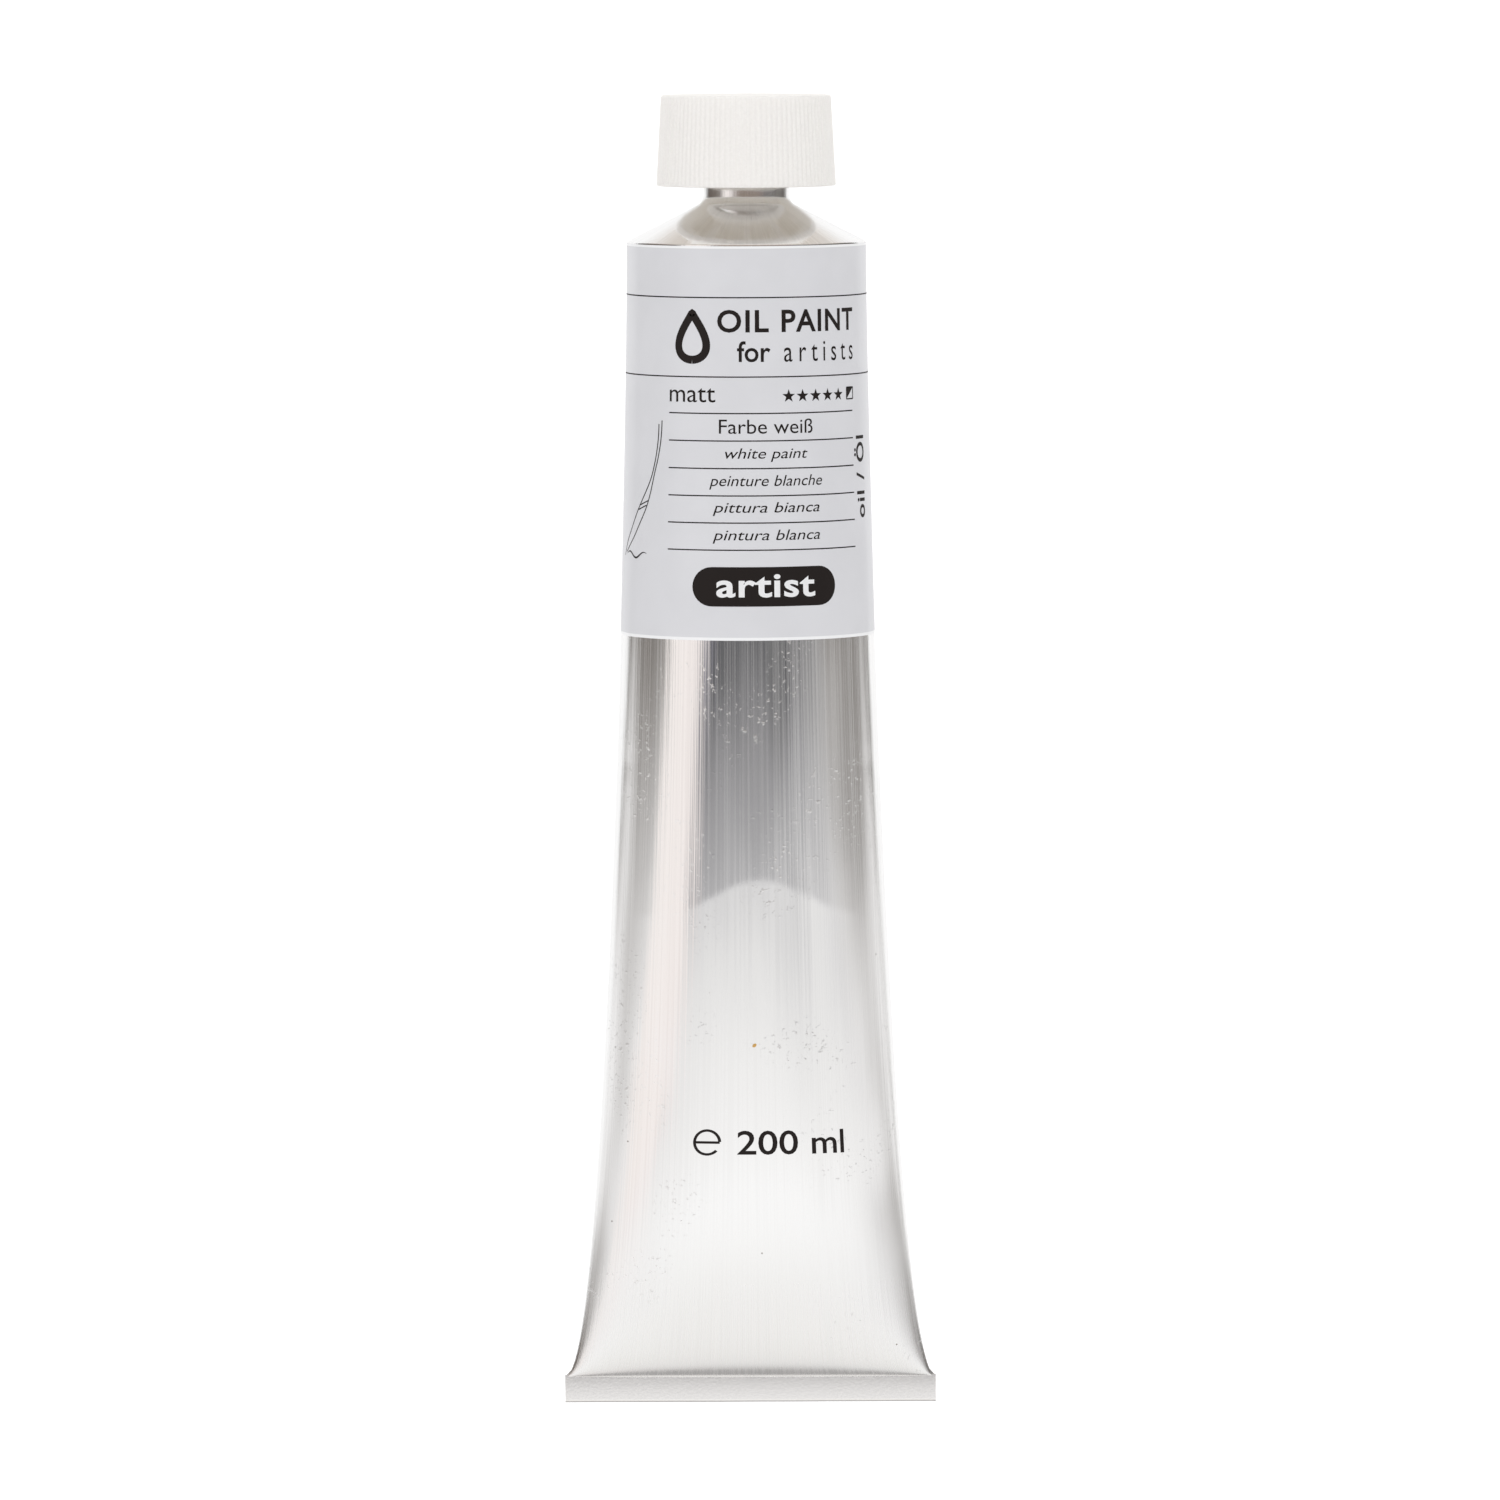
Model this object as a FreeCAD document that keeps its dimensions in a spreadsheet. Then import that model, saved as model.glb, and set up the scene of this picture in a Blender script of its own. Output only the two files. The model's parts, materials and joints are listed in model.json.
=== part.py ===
"""Collapsible aluminium tube of artists' paint with a ribbed screw cap, lying on its belly.

Every piece is built standing on the fold: Z runs along the tube's own axis from the end of the
fold to the cap, X across the flattened end, and the label faces -Y.  At the end each piece is
laid down by one Placement, so that the label faces up and the cap points towards +Y.
Lengths are millimetres.
"""
import FreeCAD, Part
import math
import os

import Sketcher
from FreeCAD import Placement, Rotation, Vector

SIZES = {
    # the drawn tube: shoulder, sleeve and neck are one impact-extruded piece
    "tube_diameter": 40.0,
    "sleeve_length": 196.65,     # shoulder edge to the far end of the fold
    "wall": 0.15,
    "shoulder_skirt": 1.6,       # round stretch below the shoulder edge, before the flare starts
    "shoulder_rise": 6.55,       # shoulder edge to the foot of the neck
    "shoulder_thickness": 0.8,
    "shoulder_edge_radius": 0.35,
    # neck
    "collar_diameter": 14.4,
    "collar_height": 3.4,
    "collar_fillet": 2.0,
    "thread_diameter": 14.2,
    "thread_height": 0.6,
    "thread_pitch": 2.0,
    "ridge_foot": 1.0,           # axial width of a thread ridge at its foot
    "ridge_crest": 0.4,
    "bore_diameter": 9.6,
    "lip_radius": 0.35,
    # folded end: the flat strip is turned up twice at the back
    "fold_height": 4.5,
    "seal_thickness": 0.06,
    "layer_gap": 0.05,
    "fold_step": 0.35,           # how far the second turn stays below the top of the fold
    # lacquered print band
    "label_length": 64.95,
    "label_edge": 0.9,           # shoulder edge down to the band
    "label_thickness": 0.08,
    "label_gap": 0.04,
    # paint
    "paint_gap": 0.05,
    "paint_end": 19.0,           # paint stops this far above the end of the fold
    "paint_below_lip": 1.2,
    # cap
    "cap_height": 15.2,
    "cap_clear": 9.25,           # shoulder edge to the mouth of the cap
    "cap_mouth_diameter": 30.1,
    "cap_top_diameter": 28.5,
    "cap_skirt": 1.3,
    "cap_top": 1.5,
    "cap_edge_radius": 0.45,
    "cap_sleeve_wall": 1.5,
    "web_count": 8,
    "web_thickness": 1.0,
    "web_rise": 4.0,
    "rib_count": 100,
    "groove_radius": 0.36,
    "groove_depth": 0.2,
    "thread_clearance": 0.2,     # between crest and root, neck to cap
    # liner in the cap
    "liner_thickness": 1.0,
    "liner_clearance": 0.1,
    "seat_gap": 0.02,
}

# How late the sides flare out, and how late front and back close on each other.
FLARE_POWER = 1.38
PINCH_POWER = 0.38

# Share of the sleeve's roundness left at each cross-section, from the shoulder to the fold.
ROUNDNESS = (1, 0.93, 0.84, 0.74, 0.63, 0.52, 0.41, 0.30, 0.20, 0.12, 0.06, 0.02, 0)

STEP = 0.01        # drawn-in joint where the sleeve runs into another piece of the tube

# Named places along the tube's axis, as expressions of the sheet.
RADIUS = "sizes.tube_diameter / 2"
STRIP = "(2 * sizes.wall + sizes.seal_thickness)"
PITCH_OF_LAYERS = f"({STRIP} + sizes.layer_gap)"
FLARE_TOP = "(sizes.sleeve_length - sizes.shoulder_skirt)"
LABEL_TOP = "(sizes.sleeve_length - sizes.label_edge)"
NECK_FOOT = "(sizes.sleeve_length + sizes.shoulder_rise)"
COLLAR_TOP = f"({NECK_FOOT} + sizes.collar_height)"
CAP_MOUTH = "(sizes.sleeve_length + sizes.cap_clear)"
CAP_END = f"({CAP_MOUTH} + sizes.cap_height)"
CAP_CEILING = f"({CAP_END} - sizes.cap_top)"
LIP = f"({CAP_CEILING} - sizes.liner_thickness - 2 * sizes.seat_gap)"
THREAD_ROOT = "(sizes.thread_diameter / 2 - sizes.thread_height)"
THREAD_CREST = "(sizes.thread_diameter / 2)"
NECK_RIDGE = f"({COLLAR_TOP} + 0.1)"
CAP_BORE = f"({THREAD_CREST} + sizes.thread_clearance)"
CAP_CREST = f"({THREAD_ROOT} + sizes.thread_clearance)"
CAP_RIDGE = f"({NECK_RIDGE} + sizes.thread_pitch / 2)"
CAP_SLEEVE_MOUTH = f"({CAP_RIDGE} - 0.2)"

doc = FreeCAD.newDocument("paint_tube")
sheet = doc.addObject("Spreadsheet::Sheet", "sizes")
places = doc.addObject("Spreadsheet::Sheet", "places")
worked_out = {}


def fill_sheet():
    """Writes every driving size into the sheet, one row each, with its alias."""
    for row, (alias, value) in enumerate(SIZES.items(), start=1):
        sheet.set(f"A{row}", alias)
        sheet.set(f"B{row}", str(value))
        sheet.setAlias(f"B{row}", alias)
    doc.recompute()


def value(formula):
    """Works out a formula of the sizes in a cell of its own, and gives its number."""
    formula = str(formula)
    if formula not in worked_out:
        cell = f"A{len(worked_out) + 1}"
        places.set(cell, f"={formula}")
        places.recompute()
        worked_out[formula] = float(places.get(cell))
    return worked_out[formula]


def bind(piece, **expressions):
    """Binds properties of a piece to expressions; 'x', 'y', 'z' place it."""
    for name, expression in expressions.items():
        path = f".Placement.Base.{name}" if name in "xyz" else name
        piece.setExpression(path, str(expression))
    return piece


def add(kind, name, **expressions):
    """Adds one document object and binds its sizes."""
    return bind(doc.addObject(kind, name), **expressions)


def boolean(kind, name, base, tool):
    """Fuses, cuts or intersects two pieces."""
    piece = doc.addObject(kind, name)
    piece.Base = base
    piece.Tool = tool
    piece.Refine = False
    return piece


def join(name, pieces):
    """Fuses several pieces into one."""
    piece = doc.addObject("Part::MultiFuse", name)
    piece.Shapes = pieces
    piece.Refine = False
    return piece


# ---------------------------------------------------------------- sketches

def attach(sketch, body, plane="XZ_Plane"):
    """Lays a sketch on one of its own body's origin planes."""
    found = next(f for f in body.Origin.OriginFeatures if f.Role == plane)
    sketch.AttachmentSupport = [(found, "")]
    sketch.MapMode = "FlatFace"


def outline(body, name, corners, plane="XZ_Plane"):
    """Closed outline of straight runs; each corner is a pair of expressions."""
    sketch = body.newObject("Sketcher::SketchObject", name)
    attach(sketch, body, plane)
    count = len(corners)
    spots = [[value(e) for e in corner] for corner in corners]
    for i, (x, y) in enumerate(spots):
        ahead = spots[(i + 1) % count]
        sketch.addGeometry(
            Part.LineSegment(Vector(x, y, 0), Vector(*ahead, 0)), False)
    for i in range(count):
        sketch.addConstraint(Sketcher.Constraint("Coincident", i, 2, (i + 1) % count, 1))
    for i, corner in enumerate(corners):
        for kind, expression, start in zip(("DistanceX", "DistanceY"), corner, spots[i]):
            rule = sketch.addConstraint(Sketcher.Constraint(kind, -1, 1, i, 1, start))
            sketch.setExpression(f"Constraints[{rule}]", str(expression))
    return sketch


def turned(body, name, corners):
    """Revolves an outline about the tube's axis."""
    profile = outline(body, f"{name}_outline", corners)
    feature = body.newObject("PartDesign::Revolution", name)
    feature.Profile = profile
    feature.ReferenceAxis = (profile, ["V_Axis"])
    feature.Angle = 360
    return feature


def edges_at(shape, radius, height, slack=0.02):
    """Names of the round edges of a shape at one radius and height about the tube's axis."""
    found = []
    for i, edge in enumerate(shape.Edges, start=1):
        curve = edge.Curve
        if (isinstance(curve, Part.Circle) and abs(curve.Radius - radius) < slack
                and abs(curve.Center.z - height) < slack):
            found.append(f"Edge{i}")
    if not found:
        raise RuntimeError(f"no round edge at radius {radius} and height {height}")
    return found


def rounded(body, name, base, rims, radius):
    """Rounds the circular edges at the given (radius, height) places."""
    doc.recompute()
    names = [n for r, z in rims for n in edges_at(base.Shape, value(r), value(z))]
    feature = body.newObject("PartDesign::Fillet", name)
    feature.Base = (base, names)
    return bind(feature, Radius=radius)


def ridge(body, name, root, crest, foot, top):
    """Adds a helical thread ridge standing on the radius root, from height foot to height top."""
    ramp = "(sizes.ridge_foot - sizes.ridge_crest) / 2"
    sink = f"{root} + ({root} - {crest}) / 3"
    profile = outline(body, f"{name}_outline", [
        (sink, foot),
        (root, foot),
        (crest, f"{foot} + {ramp}"),
        (crest, f"{foot} + {ramp} + sizes.ridge_crest"),
        (root, f"{foot} + sizes.ridge_foot"),
        (sink, f"{foot} + sizes.ridge_foot"),
    ])
    feature = body.newObject("PartDesign::AdditiveHelix", name)
    feature.Profile = profile
    feature.ReferenceAxis = (profile, ["V_Axis"])
    feature.Mode = "pitch-height-angle"
    return bind(feature, Pitch="sizes.thread_pitch",
                Height=f"{top} - {foot} - sizes.ridge_foot")


def patterned(body, name, features, count):
    """Repeats features of a body around the tube's axis."""
    doc.recompute()
    axis = next(f for f in body.Origin.OriginFeatures if f.Role == "Z_Axis")
    pattern = body.newObject("PartDesign::PolarPattern", name)
    pattern.Originals = features
    pattern.Axis = (axis, [""])
    pattern.Angle = 360
    bind(pattern, Occurrences=count)
    body.Tip = pattern
    return pattern


# ---------------------------------------------------------------- tube

def oval_stack(name, grow, end="0"):
    """Sleeve from shoulder to fold, every outline moved out by grow, ending above the fold.

    The girth stays that of the drawn tube: as the sides flare towards the flat width of the
    strip, front and back close on each other.
    """
    rings = []
    for i, left in enumerate(ROUNDNESS):
        depth = (f"max({STRIP} / 2 - 2 * {STEP} + ({RADIUS} - {STRIP} / 2)"
                 f" * {left} ^ {PINCH_POWER} + {grow} - {STEP}; {STEP})")
        width = f"{RADIUS} * (1 + (pi / 2 - 1) * (1 - sqrt({left}))) + {grow} - {STEP}"
        height = (f"{FLARE_TOP} - ({FLARE_TOP} - sizes.fold_height)"
                  f" * (1 - {left}) ^ (1 / {FLARE_POWER})")
        rings.append(add(
            "Part::Ellipse", f"{name}_ring_{i}",
            MajorRadius=width if i else f"{RADIUS} + {grow} - {STEP}",
            MinorRadius=depth if i else f"{RADIUS} + {grow} - {STEP}",
            z=f"{height} + {end} * (1 - {left})" if i else f"{LABEL_TOP} + 0.1"))
    stack = doc.addObject("Part::Loft", name)
    stack.Sections = rings
    stack.Solid = True
    stack.Ruled = False
    return stack


def head_body():
    """Shoulder and neck, solid, with the thread of the neck."""
    body = doc.addObject("PartDesign::Body", "head")
    edge = "sizes.sleeve_length"
    core = turned(body, "head_core", [
        ("0", FLARE_TOP),
        (RADIUS, FLARE_TOP),
        (RADIUS, edge),
        ("sizes.collar_diameter / 2", NECK_FOOT),
        ("sizes.collar_diameter / 2", COLLAR_TOP),
        (THREAD_ROOT, COLLAR_TOP),
        (THREAD_ROOT, LIP),
        ("0", LIP),
    ])
    soft = rounded(body, "shoulder_edge", core, [(RADIUS, edge)], "sizes.shoulder_edge_radius")
    soft = rounded(body, "collar_foot", soft,
                   [("sizes.collar_diameter / 2", NECK_FOOT)], "sizes.collar_fillet")
    rounded(body, "lip_edge", soft, [(THREAD_ROOT, LIP)], "sizes.lip_radius")
    ridge(body, "neck_thread", THREAD_ROOT, THREAD_CREST, NECK_RIDGE,
          f"{LIP} - sizes.lip_radius - 0.3")
    return body


def head_hollow(name, gap, top):
    """Space inside shoulder and neck, drawn in by gap and stopping at top."""
    body = doc.addObject("PartDesign::Body", name)
    bore = f"sizes.bore_diameter / 2 - {gap}"
    inside = f"{RADIUS} - sizes.wall - {gap}"
    drop = "sizes.shoulder_thickness * 1.13"
    turned(body, f"{name}_core", [
        ("0", FLARE_TOP),
        (inside, FLARE_TOP),
        (inside, f"sizes.sleeve_length - {drop}"),
        (bore, f"{NECK_FOOT} - {drop} + (sizes.collar_diameter - sizes.bore_diameter) / 2 * 0.5"),
        (bore, top),
        ("0", top),
    ])
    return body


def layer(name, across, place, low, high, thickness, half_width):
    """One flat run of the folded strip, standing at a depth counted in layers."""
    return add(
        "Part::Box", name,
        Length=f"2 * ({half_width})", Width=thickness, Height=f"{high} - ({low})",
        x=f"-({half_width})", y=f"{place} * {PITCH_OF_LAYERS} - {thickness} / 2", z=low)


def turn(name, place, height, mid_radius, thickness, half_width, upward):
    """One half-round turn of the folded strip, between two of its runs."""
    whole = add("Part::Cylinder", f"{name}_outside",
                Radius=f"{mid_radius} + {thickness} / 2", Height=f"2 * ({half_width})")
    core = add("Part::Cylinder", f"{name}_inside",
               Radius=f"{mid_radius} - {thickness} / 2", Height=f"2 * ({half_width})")
    side = 1 if upward else -1
    for rod in (whole, core):
        rod.Angle = 180
        rod.Placement.Rotation = Rotation(
            Vector(0, side, 0), Vector(0, 0, side), Vector(1, 0, 0), "ZXY")
        bind(rod, x=f"-({half_width})", y=f"{place} * {PITCH_OF_LAYERS}", z=height)
    return boolean("Part::Cut", name, whole, core)


def strip_path(name, thickness, half_width, sealed_only):
    """The twice-turned strip, or only the stretch of it that the sealing compound covers."""
    low_turn = f"({PITCH_OF_LAYERS} + {STRIP} / 2)"
    high_turn = (f"(sizes.fold_height - sizes.fold_step - {PITCH_OF_LAYERS} / 2"
                 f" - {STRIP} / 2)")
    tail = f"({low_turn} + sizes.layer_gap * 2)"
    back_low = f"({low_turn} + sizes.fold_height) / 2" if sealed_only else low_turn
    runs = [
        layer(f"{name}_back", thickness, 2, back_low, high_turn, thickness, half_width),
        turn(f"{name}_high_turn", 1.5, high_turn, f"{PITCH_OF_LAYERS} / 2", thickness,
             half_width, True),
        layer(f"{name}_middle", thickness, 1, tail, high_turn, thickness, half_width),
    ]
    if not sealed_only:
        runs += [
            layer(f"{name}_front", thickness, 0, low_turn, "sizes.fold_height + 0.4",
                  thickness, half_width),
            turn(f"{name}_low_turn", 1, low_turn, PITCH_OF_LAYERS, thickness, half_width,
                 False),
        ]
    return join(name, runs)


def filled(name, grow, head):
    """Space inside sleeve and head together, as one solid."""
    return join(name, [oval_stack(f"{name}_sleeve", grow, "2 * sizes.seal_thickness"), head])


def slab(name, low, high):
    """Wide block between two heights, to keep a stretch of something."""
    return add("Part::Box", name, Length="4 * sizes.tube_diameter",
               Width="4 * sizes.tube_diameter", Height=f"{high} - ({low})",
               x="-2 * sizes.tube_diameter", y="-2 * sizes.tube_diameter", z=low)


def build_tube():
    """Tube, sealing compound and paint."""
    strip_half = f"({RADIUS} * pi / 2 + 2 * {STEP})"
    seal, seal_room = [strip_path(name, "sizes.seal_thickness", f"{strip_half} - sizes.wall",
                                  True) for name in ("end_seal", "seal_room")]
    strip = boolean("Part::Cut", "strip", strip_path("whole_strip", STRIP, strip_half, False),
                    seal_room)
    outside = join("outside", [oval_stack("outer_sleeve", "0"), head_body(), strip])
    inside = filled("inside", "-sizes.wall", head_hollow("inside_head", "0", f"{LIP} + 1"))
    shell = boolean("Part::Cut", "tube_shell", outside, inside)
    full = filled("full_paint", "-sizes.wall - sizes.paint_gap",
                   head_hollow("paint_head", "sizes.paint_gap", f"{LIP} - sizes.paint_below_lip"))
    paint = boolean("Part::Common", "paint_fill", full,
                    slab("paint_stretch", "sizes.paint_end", LIP))
    return shell, seal, paint


def build_label():
    """Lacquered band that carries the printing."""
    blank = boolean("Part::Common", "label_blank",
                    oval_stack("label_outside", "sizes.label_gap + sizes.label_thickness"),
                    slab("label_stretch", f"{LABEL_TOP} - sizes.label_length", LABEL_TOP))
    return boolean("Part::Cut", "label_coat", blank,
                   oval_stack("label_inside", "sizes.label_gap"))


def build_cap():
    """Ribbed screw cap with its threaded sleeve and webs."""
    body = doc.addObject("PartDesign::Body", "cap")
    mouth = "sizes.cap_mouth_diameter / 2"
    top = "sizes.cap_top_diameter / 2"
    hub = f"({CAP_BORE} + sizes.cap_sleeve_wall)"
    core = turned(body, "cap_core", [
        ("0", CAP_CEILING),
        (CAP_BORE, CAP_CEILING),
        (CAP_BORE, CAP_SLEEVE_MOUTH),
        (hub, CAP_SLEEVE_MOUTH),
        (hub, CAP_CEILING),
        (f"{top} - sizes.cap_skirt", CAP_CEILING),
        (f"{mouth} - sizes.cap_skirt", CAP_MOUTH),
        (mouth, CAP_MOUTH),
        (top, CAP_END),
        ("0", CAP_END),
    ])
    rounded(body, "cap_edge", core, [(top, CAP_END)], "sizes.cap_edge_radius")
    ridge(body, "cap_thread", CAP_BORE, CAP_CREST, CAP_RIDGE, f"{LIP} - 0.4")

    web = body.newObject("PartDesign::AdditiveBox", "web")
    bind(web, Length=f"{top} - sizes.cap_skirt / 2 - {hub} + 0.3", Width="sizes.web_thickness",
         Height=f"{CAP_CEILING} - {CAP_MOUTH} - sizes.web_rise + sizes.cap_top / 2",
         x=f"{hub} - 0.3", y="-sizes.web_thickness / 2", z=f"{CAP_MOUTH} + sizes.web_rise")
    patterned(body, "webs", [web], "sizes.web_count")

    groove = body.newObject("PartDesign::SubtractiveCylinder", "groove")
    lean = math.degrees(math.atan(value(f"({mouth} - {top}) / sizes.cap_height")))
    groove.Placement.Rotation = Rotation(Vector(0, 1, 0), -lean)
    groove.setExpression(
        ".Placement.Rotation.Angle", f"atan(({mouth} - {top}) / sizes.cap_height)")
    bind(groove, Radius="sizes.groove_radius", Height="sizes.cap_height * 1.2",
         x=f"{mouth} + sizes.groove_radius - sizes.groove_depth"
           f" + ({mouth} - {top}) * 0.1",
         z=f"{CAP_MOUTH} - sizes.cap_height * 0.1")
    patterned(body, "grooves", [groove], "sizes.rib_count")
    return body


def build_liner():
    """Sealing disc in the ceiling of the cap."""
    body = doc.addObject("PartDesign::Body", "cap_liner")
    rim = f"({CAP_BORE} - sizes.liner_clearance)"
    low = f"({LIP} + sizes.seat_gap)"
    turned(body, "liner_disc", [
        ("0", low), (rim, low), (rim, f"{low} + sizes.liner_thickness"),
        ("0", f"{low} + sizes.liner_thickness"),
    ])
    return body


# ---------------------------------------------------------------- resting on its belly

def back_depth(height):
    """Half depth of the sleeve at a height on the tube's axis."""
    low = value("sizes.fold_height")
    top = value(FLARE_TOP)
    share = min(max((top - height) / (top - low), 0.0), 1.0)
    left = 1 - share ** FLARE_POWER
    thin = value(f"{STRIP} / 2")
    return thin + (value(RADIUS) - thin) * left ** PINCH_POWER


def resting_lean(paint):
    """Angle by which the cap end stands up when the filled tube lies on its back, in degrees.

    The tube rolls on its bulging back until the place under the middle of the paint touches.
    """
    centre = paint.Shape.Solids[0].CenterOfMass
    lean = 0.0
    for _ in range(30):
        touch = centre.z + math.tan(lean) * back_depth(centre.z)
        lean = math.atan((back_depth(touch + 1) - back_depth(touch - 1)) / 2)
    return round(math.degrees(lean), 1)


def lay_down(pieces, lean):
    """Lays every piece on its back with one placement; the origin is under the middle."""
    turn_over = Rotation(Vector(1, 0, 0), lean - 90)
    box = FreeCAD.BoundBox()
    for piece in pieces:
        shape = piece.Shape.copy()
        shape.Placement = Placement(Vector(), turn_over).multiply(shape.Placement)
        box.add(shape.optimalBoundingBox(False, False))
    shift = Vector(-box.Center.x, -box.Center.y, -box.ZMin)
    for piece in pieces:
        piece.Placement = Placement(shift, turn_over).multiply(piece.Placement)
    doc.recompute()


def export(pieces):
    """Checks the document and writes one STEP file per piece."""
    for item in doc.Objects:
        if any(word in item.State for word in ("Invalid", "Error")):
            raise RuntimeError(f"{item.Name}: {item.State}")
    os.makedirs("parts", exist_ok=True)
    for piece in pieces:
        shape = piece.Shape
        if shape.isNull() or not shape.isValid() or len(shape.Solids) != 1:
            raise RuntimeError(f"{piece.Label} is not one sound solid")
        shape.exportStep(f"parts/{piece.Label}.step")
        box = shape.optimalBoundingBox(False, False)
        print(f"{piece.Label}: {shape.Volume / 1000:.3f} ml, z {box.ZMin:.3f} to {box.ZMax:.3f},"
              f" y {box.YMin:.3f} to {box.YMax:.3f}, x {box.XMin:.3f} to {box.XMax:.3f}")


fill_sheet()
shell, seal, paint = build_tube()
pieces = [shell, seal, paint, build_label(), build_cap(), build_liner()]
doc.recompute()
for piece in pieces:
    piece.Label = piece.Name
rest_lean = resting_lean(paint)
lay_down(pieces, rest_lean)
export(pieces)
print(f"cap end up by {rest_lean} degrees; end of the fold at {shell.Placement.Base}")
for name, place in (("fold top", "sizes.fold_height"), ("shoulder edge", "sizes.sleeve_length"),
                    ("neck foot", NECK_FOOT), ("lip", LIP), ("cap end", CAP_END)):
    print(f"{name}: {value(place):.3f} along the axis")
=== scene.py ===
"""Looks of a collapsible aluminium tube of oil paint with a ribbed screw cap.

The tube lies on its back.  Every piece is shaped on the tube's own axis, in millimetres: Z runs
from the end of the fold to the cap, X across the folded end, and the printed side faces -Y.
One matrix, taken from the frame's joint, carries it to the row frame in metres.
"""
import json
import logging
import math
from dataclasses import dataclass
from enum import Enum
from typing import Callable, Iterable, List, Optional, Sequence, Tuple

import bmesh
import bpy
from mathutils import Euler, Matrix, Vector, noise


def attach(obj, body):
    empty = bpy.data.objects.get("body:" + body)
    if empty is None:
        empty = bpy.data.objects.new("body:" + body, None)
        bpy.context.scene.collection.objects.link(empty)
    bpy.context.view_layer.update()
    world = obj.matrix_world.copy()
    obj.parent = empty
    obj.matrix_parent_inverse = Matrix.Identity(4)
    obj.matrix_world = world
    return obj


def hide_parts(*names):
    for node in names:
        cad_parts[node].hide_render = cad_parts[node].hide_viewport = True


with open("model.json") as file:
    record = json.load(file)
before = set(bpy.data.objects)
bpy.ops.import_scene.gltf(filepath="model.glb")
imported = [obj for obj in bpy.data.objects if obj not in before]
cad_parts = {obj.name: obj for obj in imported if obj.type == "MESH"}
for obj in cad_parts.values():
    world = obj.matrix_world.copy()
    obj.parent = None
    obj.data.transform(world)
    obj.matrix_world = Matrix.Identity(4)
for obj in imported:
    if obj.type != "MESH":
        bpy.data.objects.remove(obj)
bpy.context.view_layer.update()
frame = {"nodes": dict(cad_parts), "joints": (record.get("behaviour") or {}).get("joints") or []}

LOG = logging.getLogger("paint_tube")

MM = 0.001
FULL_TURN = 2 * math.pi
AROUND = 192            # divisions round the sleeve, shared by all that lies on it
LIP = 218.56            # height of the nozzle's lip on the tube's axis
RIDGE_FOOT = 206.7      # height at which the nozzle's thread starts
BAND_LOW = 130.8        # lower edge of the lacquered band
BAND_HIGH = 196.42      # upper edge of the lacquered band

GIRTH = "girth"         # UV map: share of the girth from the front, and height in millimetres
GIRTH_RADIUS = 20.0     # radius that the girth is rolled up to for patterns

Pair = Tuple[float, float]


class Body(Enum):
    """Moving bodies of the frame."""

    TUBE = "tube"
    LINER = "liner"
    CAP = "cap"


class Slot(Enum):
    """Material slots of the record."""

    METAL = "bare_aluminium"
    PRINT = "print_band"
    PAINT = "oil_paint"
    CAP = "cap_plastic"
    LINER = "liner_foam"


# ------------------------------------------------------------------ small helpers

def smooth_step(low: float, high: float, at: float) -> float:
    """Rises softly from 0 at low to 1 at high.

    Args:
        low: Where the rise starts.
        high: Where the rise ends.
        at: The place asked for.

    Returns:
        The share between 0 and 1.
    """
    share = min(max((at - low) / (high - low), 0.0), 1.0)
    return share * share * (3 - 2 * share)


def bump(at: float, centre: float, width: float) -> float:
    """Bell of height 1 round a centre."""
    return math.exp(-(((at - centre) / width) ** 2))


def steps(low: float, high: float, size: float) -> List[float]:
    """Evenly spaced places from low to high, both included.

    Args:
        low: First place.
        high: Last place.
        size: Largest distance between two places.

    Returns:
        The places.
    """
    count = max(1, math.ceil(abs(high - low) / size))
    return [low + (high - low) * i / count for i in range(count + 1)]


def rounded_line(corners: Sequence[Tuple[float, float, float]], facets: int = 6) -> List[Pair]:
    """Rounds the corners of an open line.

    Args:
        corners: Points as (across, up, rounding radius).
        facets: Runs that make up one rounding.

    Returns:
        The points of the rounded line.
    """
    line: List[Pair] = []
    for i, (x, y, radius) in enumerate(corners):
        here = Vector((x, y))
        if radius == 0 or i in (0, len(corners) - 1):
            line.append((x, y))
            continue
        back = (Vector(corners[i - 1][:2]) - here).normalized()
        ahead = (Vector(corners[i + 1][:2]) - here).normalized()
        half = back.angle(ahead) / 2
        centre = here + (back + ahead).normalized() * radius / math.sin(half)
        first = here + back * radius / math.tan(half) - centre
        last = here + ahead * radius / math.tan(half) - centre
        sweep = first.angle_signed(last)
        for k in range(facets + 1):
            arm = Matrix.Rotation(-sweep * k / facets, 2) @ first
            line.append(tuple(centre + arm))
    return line


def grid_shell(across: int, stations: int, place: Callable[[float, int], Vector],
               closed: bool = True, merge: float = 1e-4) -> bmesh.types.BMesh:
    """Bends a flat grid into a skin.

    Args:
        across: Faces in the first direction.
        stations: Rows of vertices in the second direction.
        place: Gives the place for a share (0 to 1) of the first direction and a row.
        closed: Whether the first direction comes round to its start.
        merge: Distance at which vertices are merged.

    Returns:
        The skin.
    """
    mesh = bmesh.new()
    bmesh.ops.create_grid(mesh, x_segments=across, y_segments=stations - 1, size=0.5)
    marks = mesh.loops.layers.uv.new(GIRTH)
    loops = [loop for face in mesh.faces for loop in face.loops]
    for loop in loops:
        loop[marks].uv.x = loop.vert.co.x
    for vert in mesh.verts:
        row = round((vert.co.y + 0.5) * (stations - 1))
        vert.co = place(round((vert.co.x + 0.5) * across) / across, row)
    for loop in loops:
        loop[marks].uv.y = loop.vert.co.z
    if closed:
        bmesh.ops.remove_doubles(mesh, verts=mesh.verts, dist=merge)
    return mesh


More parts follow.
